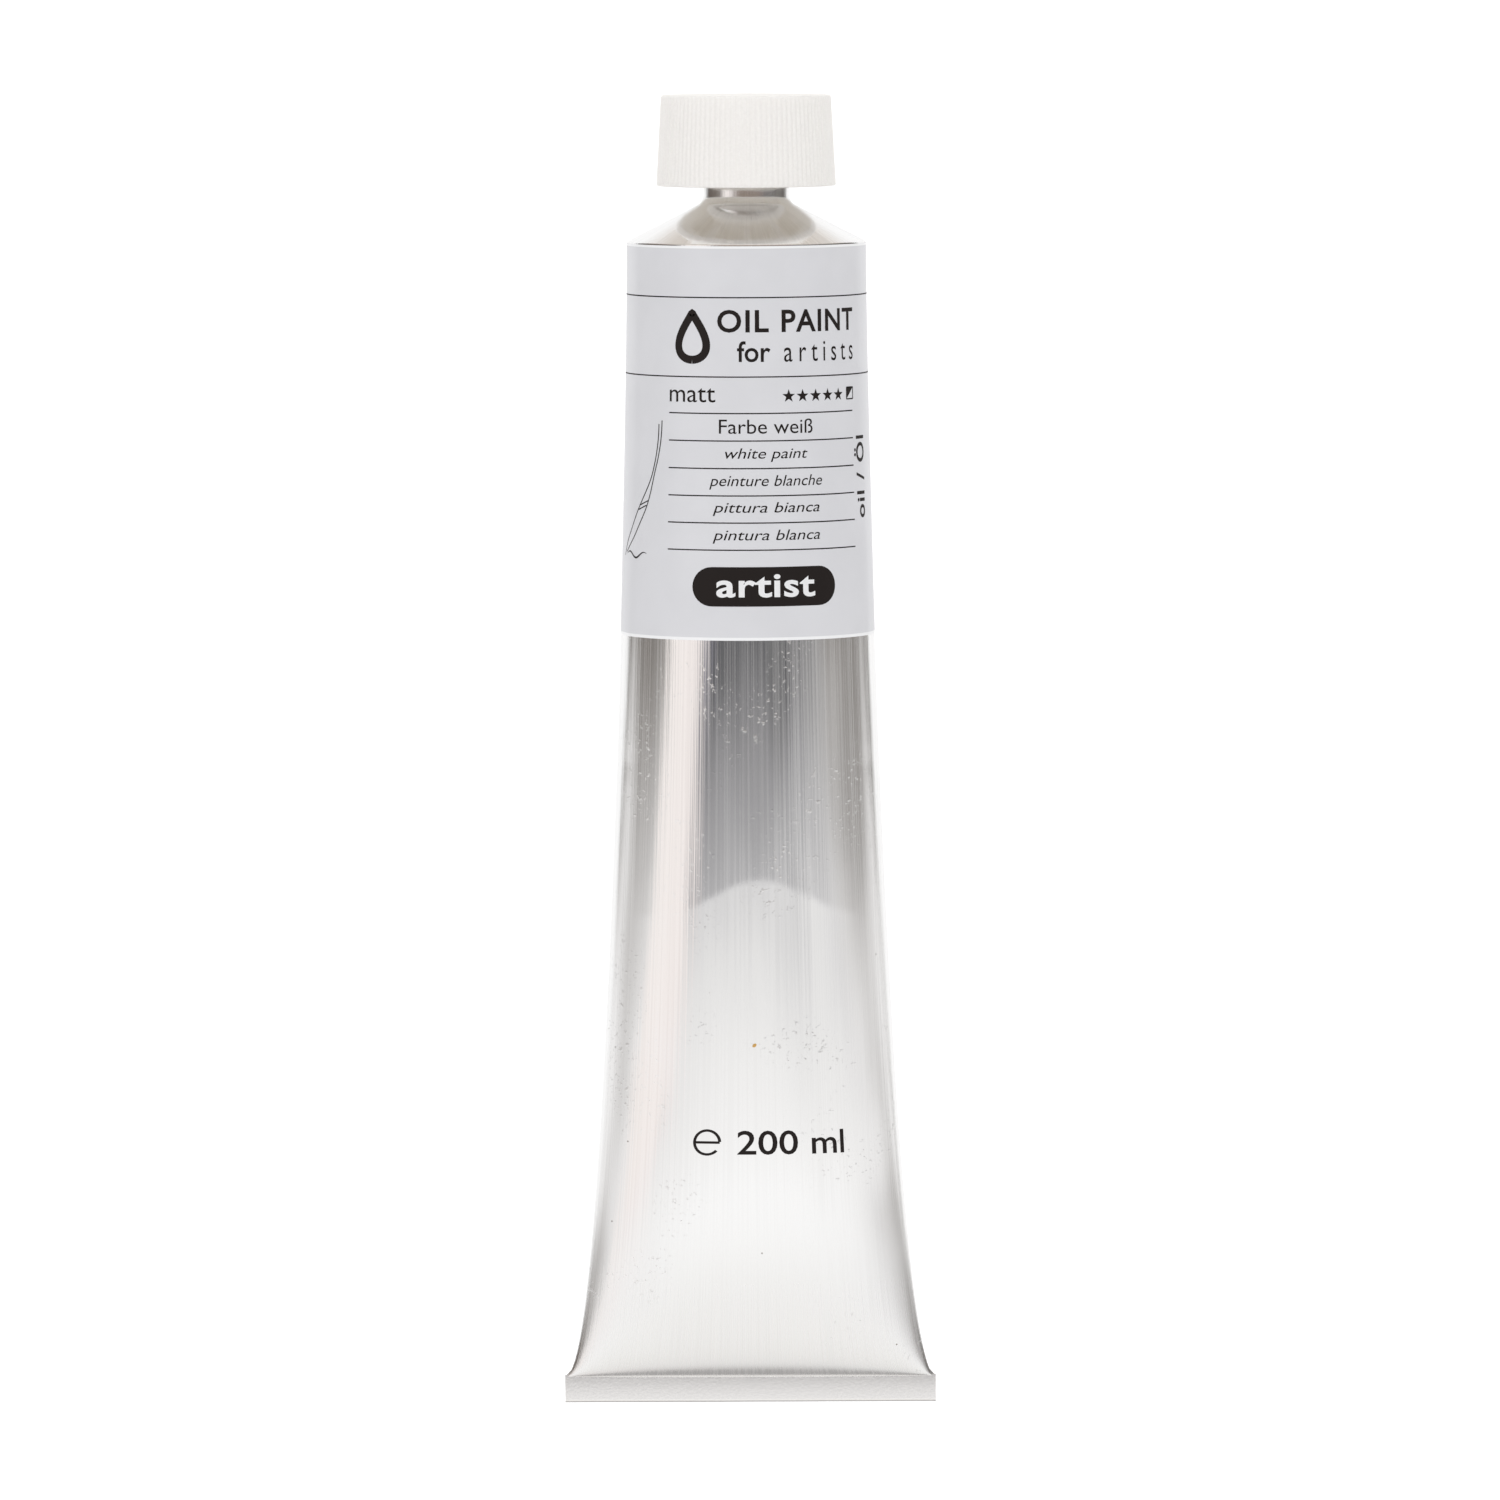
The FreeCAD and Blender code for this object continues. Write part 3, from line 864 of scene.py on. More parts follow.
        end = bend(run(front, low), pitch, low, math.pi)
        end = bend(run(end, high), 1.5 * pitch, high, math.pi)
        run(end, low + 2 * self.layer_gap)
        bmesh.ops.remove_doubles(mesh, verts=mesh.verts, dist=1e-5)
        across = bmesh.ops.extrude_face_region(mesh, geom=list(mesh.faces))["geom"]
        moved = [item for item in across if isinstance(item, bmesh.types.BMVert)]
        bmesh.ops.translate(mesh, verts=moved, vec=(2 * half, 0, 0))
        for place in steps(-half, half, 1.3)[1:-1]:
            bmesh.ops.bisect_plane(mesh, geom=list(mesh.verts) + list(mesh.edges)
                                   + list(mesh.faces), plane_co=(place, 0, 0),
                                   plane_no=(1, 0, 0))
        for vert in mesh.verts:
            x, _, z = vert.co
            sway = noise.noise(Vector((x / 14.0, 3.7, 0.0)))
            vert.co.y += 0.05 * sway + self.fold_lean * (self.sleeve.fold_top - z)
            vert.co.z += 0.10 * noise.noise(Vector((x / 11.0, 9.1, z / 30.0))) \
                * smooth_step(4.5, 1.0, z) * 0.5 + 0.05 * smooth_step(4.5, 1.0, z)
            trim = 0.10 * noise.noise(Vector((2.0, z / 1.8, math.copysign(5, x))))
            vert.co.x -= math.copysign(abs(trim), x) * smooth_step(half - 1.4, half, abs(x))
        return mesh

    def nozzle_thread(self) -> bmesh.types.BMesh:
        """Builds the ridge of the nozzle's thread."""
        return Thread(self.thread_root, self.thread_crest, self.collar_top + 0.1,
                      LIP - 0.65).mesh()

    def make(self, bench: Bench) -> None:
        """Builds and dresses the tube.

        Args:
            bench: Where the pieces are put down.
        """
        bench.put(self.skin(), "tube_skin", Body.TUBE, Slot.METAL, METAL, ["tube_shell"])
        bench.put(self.fold(), "folded_strip", Body.TUBE, Slot.METAL, FOLDED, ["tube_shell"])
        bench.put(self.nozzle_thread(), "nozzle_thread", Body.TUBE, Slot.METAL, METAL,
                  ["tube_shell"])
        seal = frame["nodes"]["end_seal"]
        seal.data.materials.clear()
        seal.data.materials.append(bench.finish(COMPOUND))


@dataclass(frozen=True)
class PaintPlug:
    """White paint standing in the nozzle's bore, with the little peak a finger leaves."""

    radius: float = 4.74
    top: float = 217.4
    deep: float = 14.0

    def make(self, bench: Bench) -> None:
        """Builds and dresses the paint.

        Args:
            bench: Where the piece is put down.
        """
        line = [(0.0, self.top - self.deep), (self.radius, self.top - self.deep),
                (self.radius, self.top - 0.35)]
        line += [(self.radius * math.cos(a), self.top - 0.35 + 0.30 * math.sin(a))
                 for a in steps(0.2, math.pi / 2, 0.2)]
        line[-1] = (0.0, self.top)
        mesh = turned_shell(line, 64)
        for vert in mesh.verts:
            if vert.co.z > self.top - 0.4:
                reach = vert.co.xy.length / self.radius
                swirl = math.sin(2 * math.atan2(vert.co.y, vert.co.x) + 7 * reach)
                vert.co.z += 0.10 * swirl * reach * (1 - reach) * 4 + 0.5 * bump(reach, 0, 0.22)
        bench.put(mesh, "paint_plug", Body.TUBE, Slot.PAINT, PASTE, ["paint_fill"])


# ------------------------------------------------------------------ printed band

@dataclass(frozen=True)
class Box:
    """Box on the unrolled band: across from the front in millimetres, and up the axis."""

    left: float
    right: float
    low: float
    high: float


@dataclass(frozen=True)
class Printer:
    """Bends flat print onto the sleeve."""

    sleeve: Sleeve
    lift: float = 0.075
    cut: float = 1.0

    def bend(self, flat: bmesh.types.BMesh, lift: Optional[float] = None) -> bmesh.types.BMesh:
        """Cuts flat print fine enough to bend, and lays it on the sleeve.

        Args:
            flat: Flat mesh, X across from the front and Y up the axis; it is changed.
            lift: Distance from the metal, if it isn't the band's.

        Returns:
            The bent print.
        """
        reach = [vert.co.x for vert in flat.verts]
        tall = [vert.co.y for vert in flat.verts]
        for place in steps(min(reach), max(reach), self.cut)[1:-1]:
            self._slice(flat, (place, 0, 0), (1, 0, 0))
        for place in steps(min(tall), max(tall), 3 * self.cut)[1:-1]:
            self._slice(flat, (0, place, 0), (0, 1, 0))
        lift = self.lift if lift is None else lift
        for vert in flat.verts:
            vert.co = self.sleeve.spot(vert.co.x / self.sleeve.radius, vert.co.y, lift)
        return flat

    @staticmethod
    def _slice(mesh: bmesh.types.BMesh, point: Tuple[float, float, float],
               normal: Tuple[float, float, float]) -> None:
        """Cuts a mesh along a plane."""
        bmesh.ops.bisect_plane(mesh, geom=list(mesh.verts) + list(mesh.edges)
                               + list(mesh.faces), plane_co=point, plane_no=normal)

    @staticmethod
    def word(text: str, box: Box, weight: float = 0.0, slant: float = 0.0,
             spacing: float = 1.0, turned: bool = False) -> bmesh.types.BMesh:
        """Sets a word so that it fills a box.

        Args:
            text: The word.
            box: The box to fill.
            weight: How much the letters are thickened.
            slant: Shear of the letters.
            spacing: Letter spacing.
            turned: Whether the word reads upwards.

        Returns:
            The flat word.
        """
        curve = bpy.data.curves.new("word", "FONT")
        curve.body, curve.shear, curve.space_character = text, slant, spacing
        curve.offset, curve.resolution_u, curve.size = weight, 4, 1.0
        holder = bpy.data.objects.new("word", curve)
        bpy.context.scene.collection.objects.link(holder)
        shown = holder.evaluated_get(bpy.context.evaluated_depsgraph_get())
        data = bpy.data.meshes.new_from_object(shown)
        flat = bmesh.new()
        flat.from_mesh(data)
        bpy.data.objects.remove(holder)
        bpy.data.curves.remove(curve)
        bpy.data.meshes.remove(data)
        if turned:
            bmesh.ops.rotate(flat, verts=flat.verts, cent=(0, 0, 0),
                             matrix=Matrix.Rotation(math.pi / 2, 3, "Z"))
        xs = [vert.co.x for vert in flat.verts]
        ys = [vert.co.y for vert in flat.verts]
        wide, tall = box.right - box.left, box.high - box.low
        grow_x, grow_y = wide / (max(xs) - min(xs)), tall / (max(ys) - min(ys))
        middle = Vector(((box.left + box.right) / 2, (box.low + box.high) / 2, 0))
        centre = Vector(((min(xs) + max(xs)) / 2, (min(ys) + max(ys)) / 2, 0))
        for vert in flat.verts:
            away = vert.co - centre
            vert.co = middle + Vector((away.x * grow_x, away.y * grow_y, 0))
        return flat

    @staticmethod
    def line(points: Sequence[Pair], width: float, taper: float = 0.0) -> bmesh.types.BMesh:
        """Draws a ribbon along points.

        Args:
            points: The line's points.
            width: Its width.
            taper: Share by which it thins towards both ends.

        Returns:
            The flat ribbon.
        """
        path = [Vector(point) for point in points]

        def place(share: float, row: int) -> Vector:
            """Places one vertex of the ribbon."""
            index = round(share * (len(path) - 1))
            before, after = path[max(index - 1, 0)], path[min(index + 1, len(path) - 1)]
            ahead = (after - before).normalized()
            thin = 1 - taper * abs(2 * share - 1) ** 2
            side = Vector((-ahead.y, ahead.x)) * width / 2 * thin * (2 * row - 1)
            spot = path[index] + side
            return Vector((spot.x, spot.y, 0))

        return grid_shell(len(path) - 1, 2, place, closed=False)

    @staticmethod
    def disc(corners: Sequence[Pair]) -> bmesh.types.BMesh:
        """Fills an outline.

        Args:
            corners: The outline's corners.

        Returns:
            The flat filled shape.
        """
        mesh = bmesh.new()
        bmesh.ops.create_circle(mesh, cap_ends=True, segments=len(corners), radius=1.0)
        mesh.verts.ensure_lookup_table()
        ring = sorted(mesh.verts, key=lambda vert: math.atan2(vert.co.y, vert.co.x) % FULL_TURN)
        for vert, corner in zip(ring, corners):
            vert.co = Vector((*corner, 0))
        bmesh.ops.triangulate(mesh, faces=mesh.faces)
        return mesh


@dataclass(frozen=True)
class PrintedBand:
    """The lacquered band with its rules, words and plain signs."""

    sleeve: Sleeve
    tube: Tube
    low: float = BAND_LOW
    high: float = BAND_HIGH
    over: float = 0.06
    under: float = 0.02
    rule_heights: Tuple[float, ...] = (168.68, 164.11, 159.52, 154.97, 150.45, 145.92)
    ring_heights: Tuple[float, ...] = (187.91, 174.74)
    rule_left: float = -13.7
    rule_right: float = 20.7
    rule_width: float = 0.21

    def band(self) -> bmesh.types.BMesh:
        """Builds the lacquer as a thin closed ring.

        Returns:
            The ring.
        """
        rows = [self.low] + [h for h in self.tube.heights() if self.low < h < 195.0]
        rows += [195.1, 195.6, 196.1, self.high]
        skin = [(height, self.over) for height in rows]
        skin += [(height, self.under) for height in reversed(rows)]
        skin.append(skin[0])

        def place(share: float, row: int) -> Vector:
            """Places one vertex of the ring."""
            height, lift = skin[row]
            return self.sleeve.spot((share - 0.5) * FULL_TURN, height, lift)

        return grid_shell(AROUND, len(skin), place)

    def rings(self) -> List[bmesh.types.BMesh]:
        """Builds the two rules that run right round."""
        half = self.rule_width / 2
        return [grid_shell(
            AROUND, 2, lambda share, row, h=height: self.sleeve.spot(
                (share - 0.5) * FULL_TURN, h - half + 2 * half * row, 0.075))
            for height in self.ring_heights]

    def signs(self) -> List[bmesh.types.BMesh]:
        """Draws stars, a half-filled square and a paint drop, all flat."""
        flat: List[bmesh.types.BMesh] = []
        for i in range(5):
            centre = 6.95 + 2.47 * i
            tips = []
            for k in range(10):
                reach = 1.15 if k % 2 == 0 else 0.46
                a = math.pi / 2 + k * math.pi / 5
                tips.append((centre + reach * math.cos(a), 171.5 + reach * math.sin(a)))
            flat.append(Printer.disc(tips))
        left, right, low, high = 19.0, 20.9, 170.65, 172.6
        frame_line = [(left, low), (right, low), (right, high), (left, high), (left, low)]
        for first, last in zip(frame_line, frame_line[1:]):
            flat.append(Printer.line([first, last], 0.22))
        flat.append(Printer.disc([(left, high), (left, low), (right, high)]))
        drop = []
        for k in range(24, 73):
            a = k / 48 * FULL_TURN
            wide = 3.5 * math.sin(a) * abs(math.sin(a / 2)) ** 1.3
            drop.append((-9.3 + wide, 181.45 + 3.9 * math.cos(a)))
        flat.append(Printer.line(drop, 1.35))
        return flat

    def brush(self) -> List[bmesh.types.BMesh]:
        """Draws a plain paint brush in thin lines."""
        axis = [(-15.6 - 0.0135 * k * k, 167.0 - 0.80 * k) for k in range(29)]
        flat = []
        for side in (-1, 1):
            outline = []
            for k, (x, z) in enumerate(axis):
                wide = 0.35 + 0.95 * smooth_step(10, 20, k) * smooth_step(29.5, 24, k)
                outline.append((x + side * wide, z + side * 0.3))
            flat.append(Printer.line(outline, 0.21))
        for k in (17, 18):
            x, z = axis[k]
            flat.append(Printer.line([(x - 1.1, z - 0.4), (x, z), (x + 1.1, z + 0.4)], 0.20))
        sweep = [(-25.4 + 0.42 * k, 144.6 + 0.5 * math.sin(k * 0.55)) for k in range(17)]
        flat.append(Printer.line(sweep, 0.32, 0.8))
        return flat

    def words(self) -> List[bmesh.types.BMesh]:
        """Sets the plain words of the band, all flat."""
        word = Printer.word
        flat = [
            word("OIL PAINT", Box(-4.9, 21.2, 182.1, 185.9), weight=0.02, spacing=1.1),
            word("for", Box(-1.6, 3.9, 177.2, 180.7), weight=0.012),
            word("artists", Box(6.2, 21.1, 177.2, 180.5), spacing=1.5),
            word("matt", Box(-13.6, -5.2, 170.5, 172.9)),
            word("Farbe weiß", Box(-4.6, 11.2, 165.3, 167.7)),
            word("white paint", Box(-3.6, 10.2, 160.6, 162.9), slant=0.25),
            word("peinture blanche", Box(-6.2, 12.9, 156.0, 158.4), slant=0.25),
            word("pittura bianca", Box(-5.6, 12.3, 151.6, 153.9), slant=0.25),
            word("pintura blanca", Box(-5.6, 12.3, 147.0, 149.3), slant=0.25),
            word("oil / Öl", Box(21.0, 24.6, 150.6, 164.4), weight=0.02, spacing=1.1,
                 turned=True),
        ]
        return flat

    def badge(self) -> Tuple[bmesh.types.BMesh, bmesh.types.BMesh]:
        """Draws a dark pill and the plain word on it, both flat."""
        left, right, low, high = -9.0, 15.2, 136.5, 143.1
        radius = (high - low) / 2
        outline = [(right - radius + radius * math.cos(a), (low + high) / 2
                    + radius * math.sin(a)) for a in steps(-math.pi / 2, math.pi / 2, 0.2)]
        outline += [(left + radius - radius * math.cos(a), (low + high) / 2
                     - radius * math.sin(a)) for a in steps(-math.pi / 2, math.pi / 2, 0.2)]
        return (Printer.disc(outline),
                Printer.word("artist", Box(-5.0, 11.2, 138.0, 141.9), weight=0.02,
                             spacing=1.05))

    def make(self, bench: Bench) -> None:
        """Builds and dresses the band and its print.

        Args:
            bench: Where the pieces are put down.
        """
        printer = Printer(self.sleeve)
        bench.put(self.band(), "band_lacquer", Body.TUBE, Slot.PRINT, ENAMEL, ["label_coat"])
        rules = [Printer.line([(x, height) for x in steps(self.rule_left, self.rule_right, 1.0)],
                              self.rule_width) for height in self.rule_heights]
        pill, word = self.badge()
        flat = {
            "rules": [printer.bend(rule) for rule in rules] + self.rings(),
            "signs": [printer.bend(sign) for sign in self.signs()],
            "brush_drawing": [printer.bend(line) for line in self.brush()],
            "words": [printer.bend(text) for text in self.words()],
            "badge": [printer.bend(pill)],
        }
        for name, meshes in flat.items():
            bench.put(joined(meshes), f"print_{name}", Body.TUBE, Slot.PRINT, INK,
                      outward=False)
        bench.put(printer.bend(word, 0.09), "print_badge_word", Body.TUBE, Slot.PRINT,
                  WHITE_INK, outward=False)


@dataclass(frozen=True)
class FillMark:
    """The volume printed low on the bare metal, and a stray speck of paint."""

    sleeve: Sleeve

    def sign(self) -> List[bmesh.types.BMesh]:
        """Draws the sign for a stated fill: an open ring with a bar."""
        cx, cz, rx, rz = -5.75, 45.95, 1.75, 2.05
        ring = [(cx + rx * math.cos(a), cz + rz * math.sin(a))
                for a in steps(0.05, 5.55, 0.12)]
        return [Printer.line(ring, 0.42), Printer.line([(cx - rx, cz), (cx, cz), (cx + rx, cz)],
                                                      0.42)]

    def make(self, bench: Bench) -> None:
        """Builds and dresses the mark.

        Args:
            bench: Where the pieces are put down.
        """
        printer = Printer(self.sleeve, lift=0.02)
        flat = self.sign()
        flat.append(Printer.word("200 ml", Box(-1.65, 13.5, 43.85, 48.0), weight=0.009,
                                 spacing=1.0))
        bench.put(joined([printer.bend(part) for part in flat]), "print_fill_mark", Body.TUBE,
                  Slot.METAL, INK, outward=False)
        speck = Printer.disc([(0.72 + 0.28 * math.cos(a) + 0.1 * math.sin(a),
                               62.55 + 0.34 * math.sin(a)) for a in steps(0, 5.6, 0.6)])
        bench.put(printer.bend(speck), "paint_speck", Body.TUBE, Slot.METAL, OCHRE,
                  outward=False)


# ------------------------------------------------------------------ cap

@dataclass(frozen=True)
class Cap:
    """Ribbed screw cap with its threaded sleeve and webs, and the liner inside."""

    mouth: float = 205.9
    height: float = 15.2
    mouth_radius: float = 15.05
    top_radius: float = 14.25
    skirt: float = 1.3
    top: float = 1.5
    ribs: int = 100
    rib_depth: float = 0.15
    bore: float = 7.3
    crest: float = 6.7
    hub_wall: float = 1.5
    webs: int = 8
    web_rise: float = 4.0
    pitch: float = 2.0
    per_rib: int = 6

    @property
    def end(self) -> float:
        """Height of the cap's end."""
        return self.mouth + self.height

    @property
    def ceiling(self) -> float:
        """Height of the ceiling inside."""
        return self.end - self.top

    def shell(self) -> bmesh.types.BMesh:
        """Turns the outside, the inside and the threaded sleeve as one closed skin.

        Returns:
            The skin.
        """
        hub = self.bore + self.hub_wall
        ridge = RIDGE_FOOT + self.pitch / 2
        line = rounded_line([
            (0.0, self.end, 0), (self.top_radius, self.end, 0.45),
            (self.mouth_radius, self.mouth, 0.25),
            (self.mouth_radius - self.skirt, self.mouth, 0.25),
            (self.top_radius - self.skirt, self.ceiling, 0.5), (hub + 0.1, self.ceiling, 0.4),
            (hub, ridge - 0.2, 0.2), (self.bore, ridge - 0.2, 0.2),
            (self.bore, self.ceiling, 0.3), (0.0, self.ceiling, 0)], facets=5)
        body = [self.end - 1.5 - step for step in range(0, int(self.height) - 2)]
        full: List[Pair] = []
        for first, last in zip(line, line[1:]):
            full.append(first)
            if first[1] - last[1] > 8 and first[0] > self.top_radius - 0.6:
                full += [(first[0] + (last[0] - first[0]) * (first[1] - h)
                          / (first[1] - last[1]), h) for h in body if last[1] < h < first[1]]
        full.append(line[-1])
        full.insert(1, (2.0, self.end))
        full.insert(2, (8.0, self.end))

        def shape(turn: float, radius: float, height: float) -> float:
            """Lets the ribs stand out of the side."""
            side = smooth_step(self.top_radius - 0.45, self.top_radius - 0.05, radius)
            fade = smooth_step(self.end, self.end - 0.5, height)
            low = smooth_step(self.mouth, self.mouth + 0.3, height)
            wave = 0.5 - 0.5 * math.cos(turn * self.ribs)
            return radius - self.rib_depth * side * fade * low * (1 - wave ** 0.6)

        return turned_shell(full, self.ribs * self.per_rib, shape)

    def web(self, turn: float) -> bmesh.types.BMesh:
        """Builds one web between the threaded sleeve and the skirt.

        Args:
            turn: Its place round the axis.

        Returns:
            The web.
        """
        hub = self.bore + self.hub_wall
        reach = self.top_radius - self.skirt * 0.6
        low, high = self.mouth + self.web_rise, self.ceiling + 0.2
        mesh = bmesh.new()
        bmesh.ops.create_cube(mesh, size=1.0)
        bmesh.ops.scale(mesh, vec=(reach - hub + 0.2, 1.0, high - low), verts=mesh.verts)
        bmesh.ops.translate(mesh, verts=mesh.verts,
                            vec=((reach + hub - 0.2) / 2, 0, (low + high) / 2))
        bmesh.ops.rotate(mesh, verts=mesh.verts, cent=(0, 0, 0),
                         matrix=Matrix.Rotation(turn, 3, "Z"))
        return mesh

    def liner(self) -> bmesh.types.BMesh:
        """Turns the sealing disc, with the groove that the lip has pressed into it."""
        low, high, rim = LIP + 0.02, LIP + 1.02, self.bore - 0.1
        line = rounded_line([
            (0.0, low, 0), (4.4, low, 0.1), (4.7, low + 0.12, 0.1), (6.5, low + 0.12, 0.1),
            (6.8, low, 0.1), (rim, low, 0.15), (rim, high, 0.15), (0.0, high, 0)], facets=3)
        return turned_shell(line, 96)

    def make(self, bench: Bench) -> None:
        """Builds and dresses cap and liner.

        Args:
            bench: Where the pieces are put down.
        """
        bench.put(self.shell(), "ribbed_cap", Body.CAP, Slot.CAP, PLASTIC, ["cap"], sharp=50)
        webs = joined([self.web(k * FULL_TURN / self.webs) for k in range(self.webs)])
        bench.put(webs, "cap_webs", Body.CAP, Slot.CAP, PLASTIC, ["cap"])
        ridge = Thread(self.bore, self.crest, RIDGE_FOOT + self.pitch / 2, LIP - 0.4)
        bench.put(ridge.mesh(), "cap_thread", Body.CAP, Slot.CAP, PLASTIC, ["cap"])
        bench.put(self.liner(), "liner_disc", Body.LINER, Slot.LINER, FOAM, ["cap_liner"])


# ------------------------------------------------------------------ studio

@dataclass(frozen=True)
class Studio:
    """Pale floor, soft light all round and the camera above the printed side."""

    distance: float = 1.6
    tilt: float = math.radians(2.2)
    roll: float = math.radians(-0.206)
    lens: float = 228.42
    target: Tuple[float, float, float] = (0.0003, 0.00018, 0.020)
    floor_size: float = 6.0

    def camera(self) -> None:
        """Stands the camera above the tube, a little towards the cap."""
        data = bpy.data.cameras.new("camera")
        data.lens, data.sensor_width = self.lens, 36.0
        data.clip_start, data.clip_end = 0.05, 50.0
        camera = bpy.data.objects.new("camera", data)
        turn = Matrix.Rotation(-self.tilt, 4, "X")
        away = Matrix.Translation((0, 0, self.distance))
        camera.matrix_world = (Matrix.Translation(self.target) @ turn @ away
                               @ Matrix.Rotation(self.roll, 4, "Z"))
        bpy.context.scene.collection.objects.link(camera)
        bpy.context.scene.camera = camera

    def floor(self) -> None:
        """Lays a plain pale floor that light passes on softly."""
        mesh = bmesh.new()
        bmesh.ops.create_grid(mesh, x_segments=1, y_segments=1, size=self.floor_size / 2)
        data = bpy.data.meshes.new("floor")
        mesh.to_mesh(data)
        mesh.free()
        floor = bpy.data.objects.new("floor", data)
        floor.location.z = -0.0002
        bpy.context.scene.collection.objects.link(floor)
        material = bpy.data.materials.new("pale floor")
        material.use_nodes = True
        material.node_tree.nodes.clear()
        nodes = Nodes(material.node_tree)
        shader = nodes.add("BsdfPrincipled", {
            "Base Color": (0.5, 0.5, 0.5, 1), "Roughness": 0.9,
            "Emission Color": (1, 1, 1, 1), "Emission Strength": 0.80})
        nodes.add("OutputMaterial", {"Surface": shader.outputs["BSDF"]})
        data.materials.append(material)
        floor.visible_glossy = False

    def lamps(self) -> None:
        """Hangs one broad soft lamp on the camera's side."""
        data = bpy.data.lights.new("broad lamp", "SUN")
        data.energy, data.angle = 1.75, math.radians(100)
        lamp = bpy.data.objects.new("broad lamp", data)
        lamp.rotation_euler = (math.radians(-6), math.radians(-1), 0)
        bpy.context.scene.collection.objects.link(lamp)
        lamp.visible_glossy = False

    def world(self) -> None:
        """Surrounds the tube with soft boxes, dark card overhead and white below."""
        world = bpy.data.worlds.new("studio")
        bpy.context.scene.world = world
        world.use_nodes = True
        tree = world.node_tree
        tree.nodes.clear()
        nodes = Nodes(tree)
        way = nodes.add("TexCoord").outputs["Generated"]
        parts = nodes.add("SeparateXYZ", {"Vector": way})
        x, y, z = (parts.outputs[name] for name in "XYZ")
        round_it = nodes.math("ARCTAN2", nodes.math("MULTIPLY", x, -1.0), z)
        share = nodes.math("MULTIPLY_ADD", round_it, 1 / FULL_TURN, 0.5)
        cards = self._ramp(nodes, share, [
            (0.000, (1.0, 1.0, 1.0)), (0.122, (1.0, 1.0, 1.0)), (0.132, (0.14, 0.13, 0.12)),
            (0.270, (0.20, 0.19, 0.18)), (0.350, (0.20, 0.19, 0.19)), (0.405, (0.20, 0.20, 0.20)),
            (0.425, (0.08, 0.08, 0.08)), (0.445, (0.26, 0.26, 0.26)), (0.462, (0.06, 0.06, 0.06)),
            (0.485, (0.16, 0.16, 0.16)), (0.505, (0.03, 0.03, 0.03)), (0.530, (0.10, 0.10, 0.105)),
            (0.555, (0.04, 0.045, 0.07)), (0.588, (0.10, 0.11, 0.17)),
            (0.602, (0.85, 0.79, 0.765)), (0.615, (0.92, 0.86, 0.84)), (0.684, (0.93, 0.88, 0.855)),
            (0.692, (0.17, 0.15, 0.135)), (0.790, (0.17, 0.145, 0.125)),
            (0.864, (0.06, 0.05, 0.045)), (0.874, (1.0, 1.0, 1.0)), (1.000, (1.0, 1.0, 1.0)),
        ])
        tilt = nodes.math("ARCSINE", nodes.math("MULTIPLY", y, -1.0))
        narrowed = nodes.math("COSINE", nodes.math("MULTIPLY", round_it, 0.67))
        footward = nodes.math("DIVIDE", tilt, nodes.math("MAXIMUM", narrowed, 0.2))
        on_the_right = nodes.math("MULTIPLY", nodes.span(round_it, -1.20, -0.85),
                                  nodes.span(round_it, -0.45, -0.66))
        footward = nodes.math("MULTIPLY_ADD", on_the_right, 0.030, footward)
        low = nodes.math("MULTIPLY", footward, 2 / math.pi)
        front = self._ramp(nodes, low, [
            (0.000, (0.27, 0.225, 0.195)), (0.085, (0.25, 0.215, 0.195)),
            (0.115, (0.10, 0.10, 0.105)), (0.138, (0.15, 0.15, 0.155)),
            (0.152, (0.32, 0.315, 0.325)), (0.168, (0.45, 0.445, 0.455)),
            (0.175, (0.50, 0.495, 0.505)), (0.183, (0.74, 0.735, 0.74)),
            (0.192, (0.83, 0.825, 0.82)), (0.225, (0.92, 0.915, 0.91)), (0.270, (1.0, 1.0, 1.0)),
            (0.310, (1.0, 1.0, 0.995)), (0.390, (0.93, 0.925, 0.91)),
            (0.640, (0.87, 0.86, 0.84)), (0.860, (0.82, 0.81, 0.80)), (1.000, (0.50, 0.49, 0.48)),
        ])
        sides = self._ramp(nodes, low, [
            (0.000, (0.0, 0.0, 0.0)), (0.080, (0.10, 0.09, 0.08)), (0.105, (0.24, 0.225, 0.21)),
            (0.122, (0.40, 0.385, 0.375)), (0.133, (0.56, 0.545, 0.54)),
            (0.144, (0.72, 0.71, 0.70)), (0.160, (0.85, 0.84, 0.84)),
            (0.220, (0.95, 0.945, 0.94)), (0.300, (1.0, 1.0, 1.0)), (1.000, (1.0, 1.0, 1.0)),
        ])
        aside = nodes.span(nodes.math("ABSOLUTE", round_it), 0.62, 1.25)
        foot = nodes.blend(aside, front, sides)
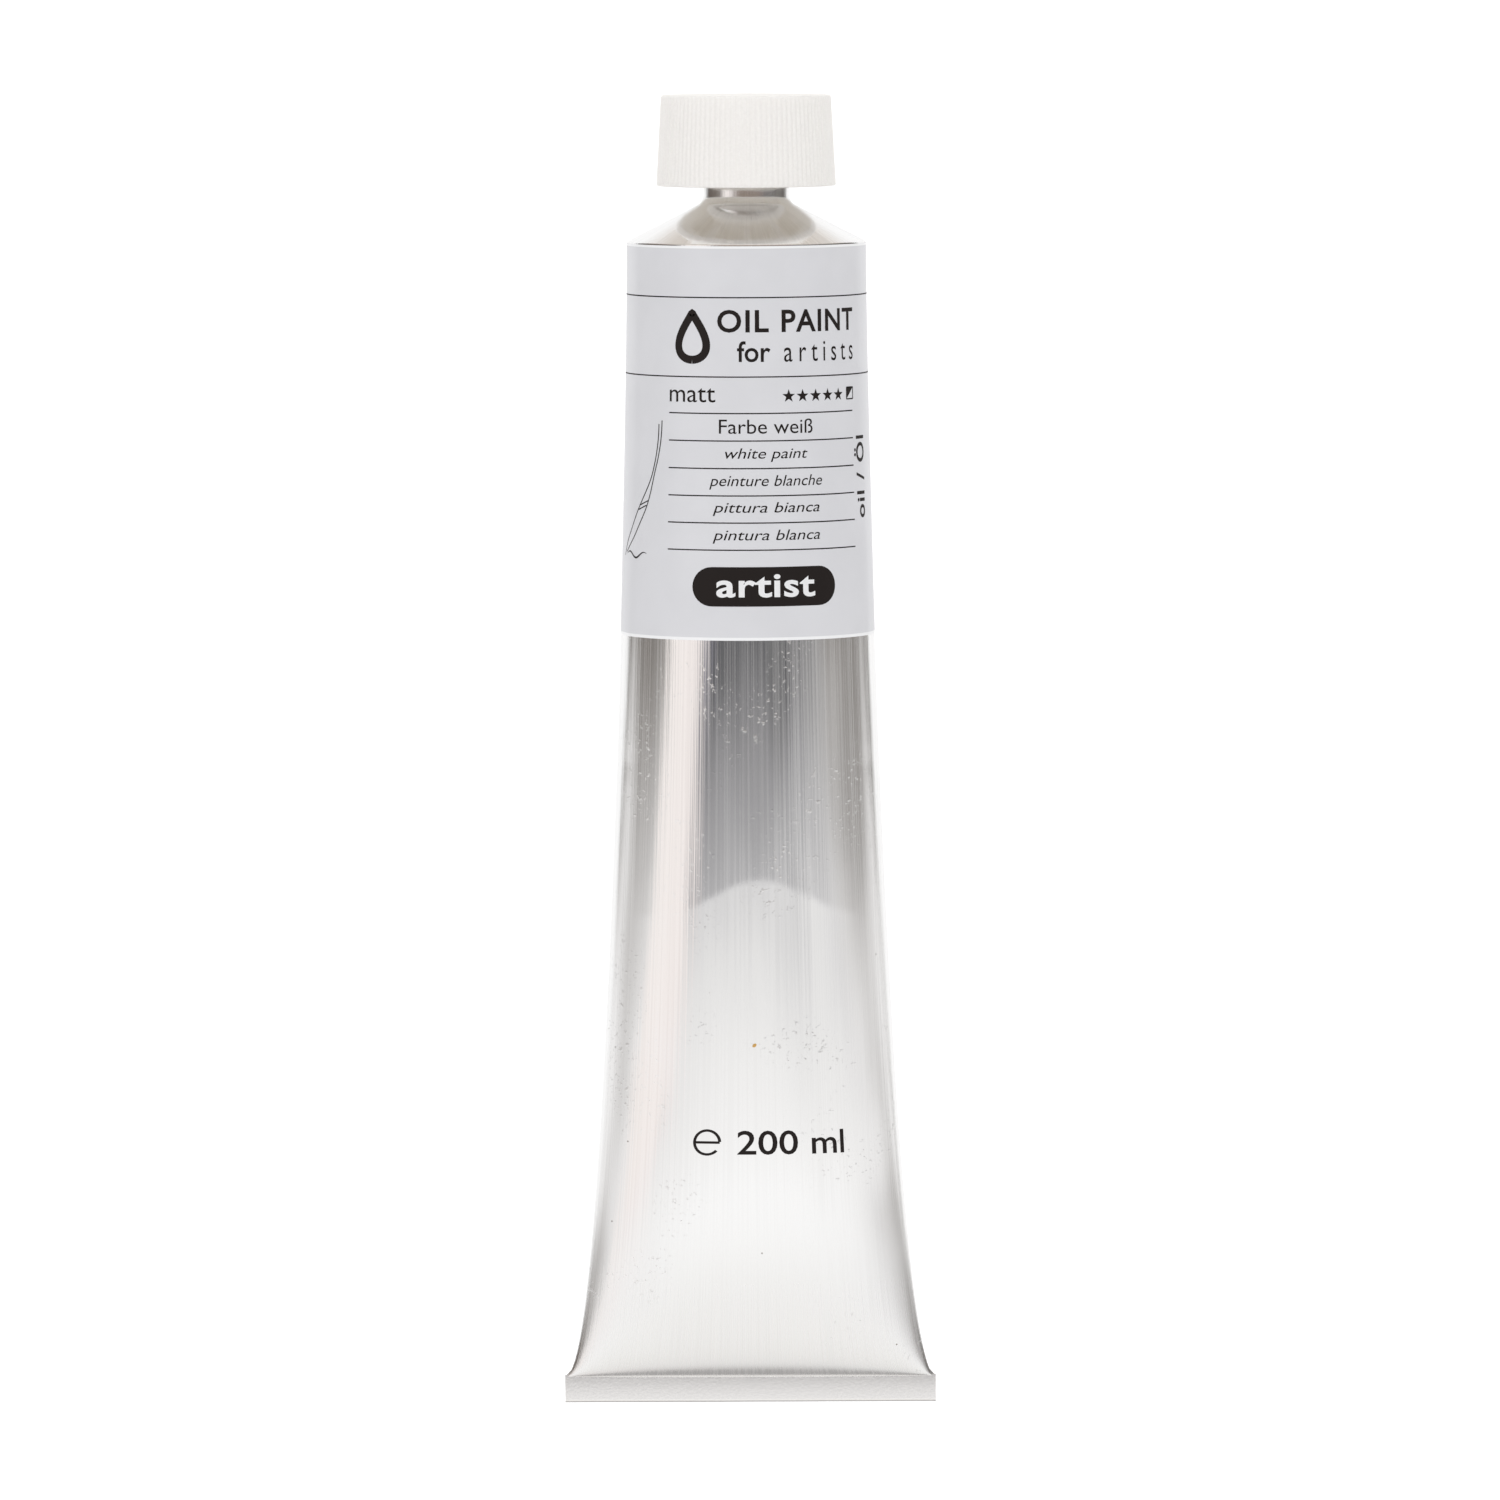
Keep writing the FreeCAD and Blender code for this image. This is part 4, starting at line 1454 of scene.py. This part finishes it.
        lit = nodes.add("Mix", {"Factor": 1.0, "A": cards, "B": foot}, data_type="RGBA",
                        blend_type="LIGHTEN").outputs["Result"]
        far_foot = nodes.math("MULTIPLY", nodes.span(y, -0.60, -0.80), aside)
        lit = nodes.blend(far_foot, lit, (0.40, 0.39, 0.385, 1))
        capward = nodes.span(y, 0.45, 0.75)
        lit = nodes.blend(capward, lit, (0.66, 0.61, 0.56, 1))
        ray = nodes.add("LightPath")
        plain = nodes.blend(ray.outputs["Is Camera Ray"], (0.42, 0.42, 0.43, 1),
                            (0.93, 0.93, 0.93, 1))
        shown = nodes.blend(ray.outputs["Is Glossy Ray"], plain, lit)
        back = nodes.add("Background", {"Color": shown, "Strength": 1.0})
        nodes.add("OutputWorld", {"Surface": back.outputs["Background"]})

    @staticmethod
    def _ramp(nodes: Nodes, place: bpy.types.NodeSocket,
              stops: Sequence[Tuple[float, Tuple[float, float, float]]]
              ) -> bpy.types.NodeSocket:
        """Adds a colour ramp.

        Args:
            nodes: Node builder of the world.
            place: Where on the ramp to look.
            stops: Position and colour of each stop, in order.

        Returns:
            The ramp's colour.
        """
        ramp = nodes.add("ValToRGB", {"Fac": place})
        points = ramp.color_ramp.elements
        points.remove(points[-1])
        for index, (position, colour) in enumerate(stops):
            point = points[0] if index == 0 else points.new(position)
            point.position, point.color = position, (*colour, 1)
        return ramp.outputs["Color"]

    def make(self) -> None:
        """Sets up camera, floor and light, and a plain view of the colours."""
        self.camera()
        self.floor()
        self.lamps()
        self.world()
        view = bpy.context.scene.view_settings
        view.view_transform, view.look = "Standard", "None"


def main() -> None:
    """Builds the studio and every piece."""
    logging.basicConfig(level=logging.INFO, format="%(name)s: %(message)s")
    Studio().make()
    axis = TubeAxis.from_joints(frame["joints"])
    bench = Bench(axis, SharedGroups(axis))
    sleeve = Sleeve()
    tube = Tube(sleeve)
    tube.make(bench)
    PaintPlug().make(bench)
    PrintedBand(sleeve, tube).make(bench)
    FillMark(sleeve).make(bench)
    Cap().make(bench)


if __name__ == "__main__":
    main()
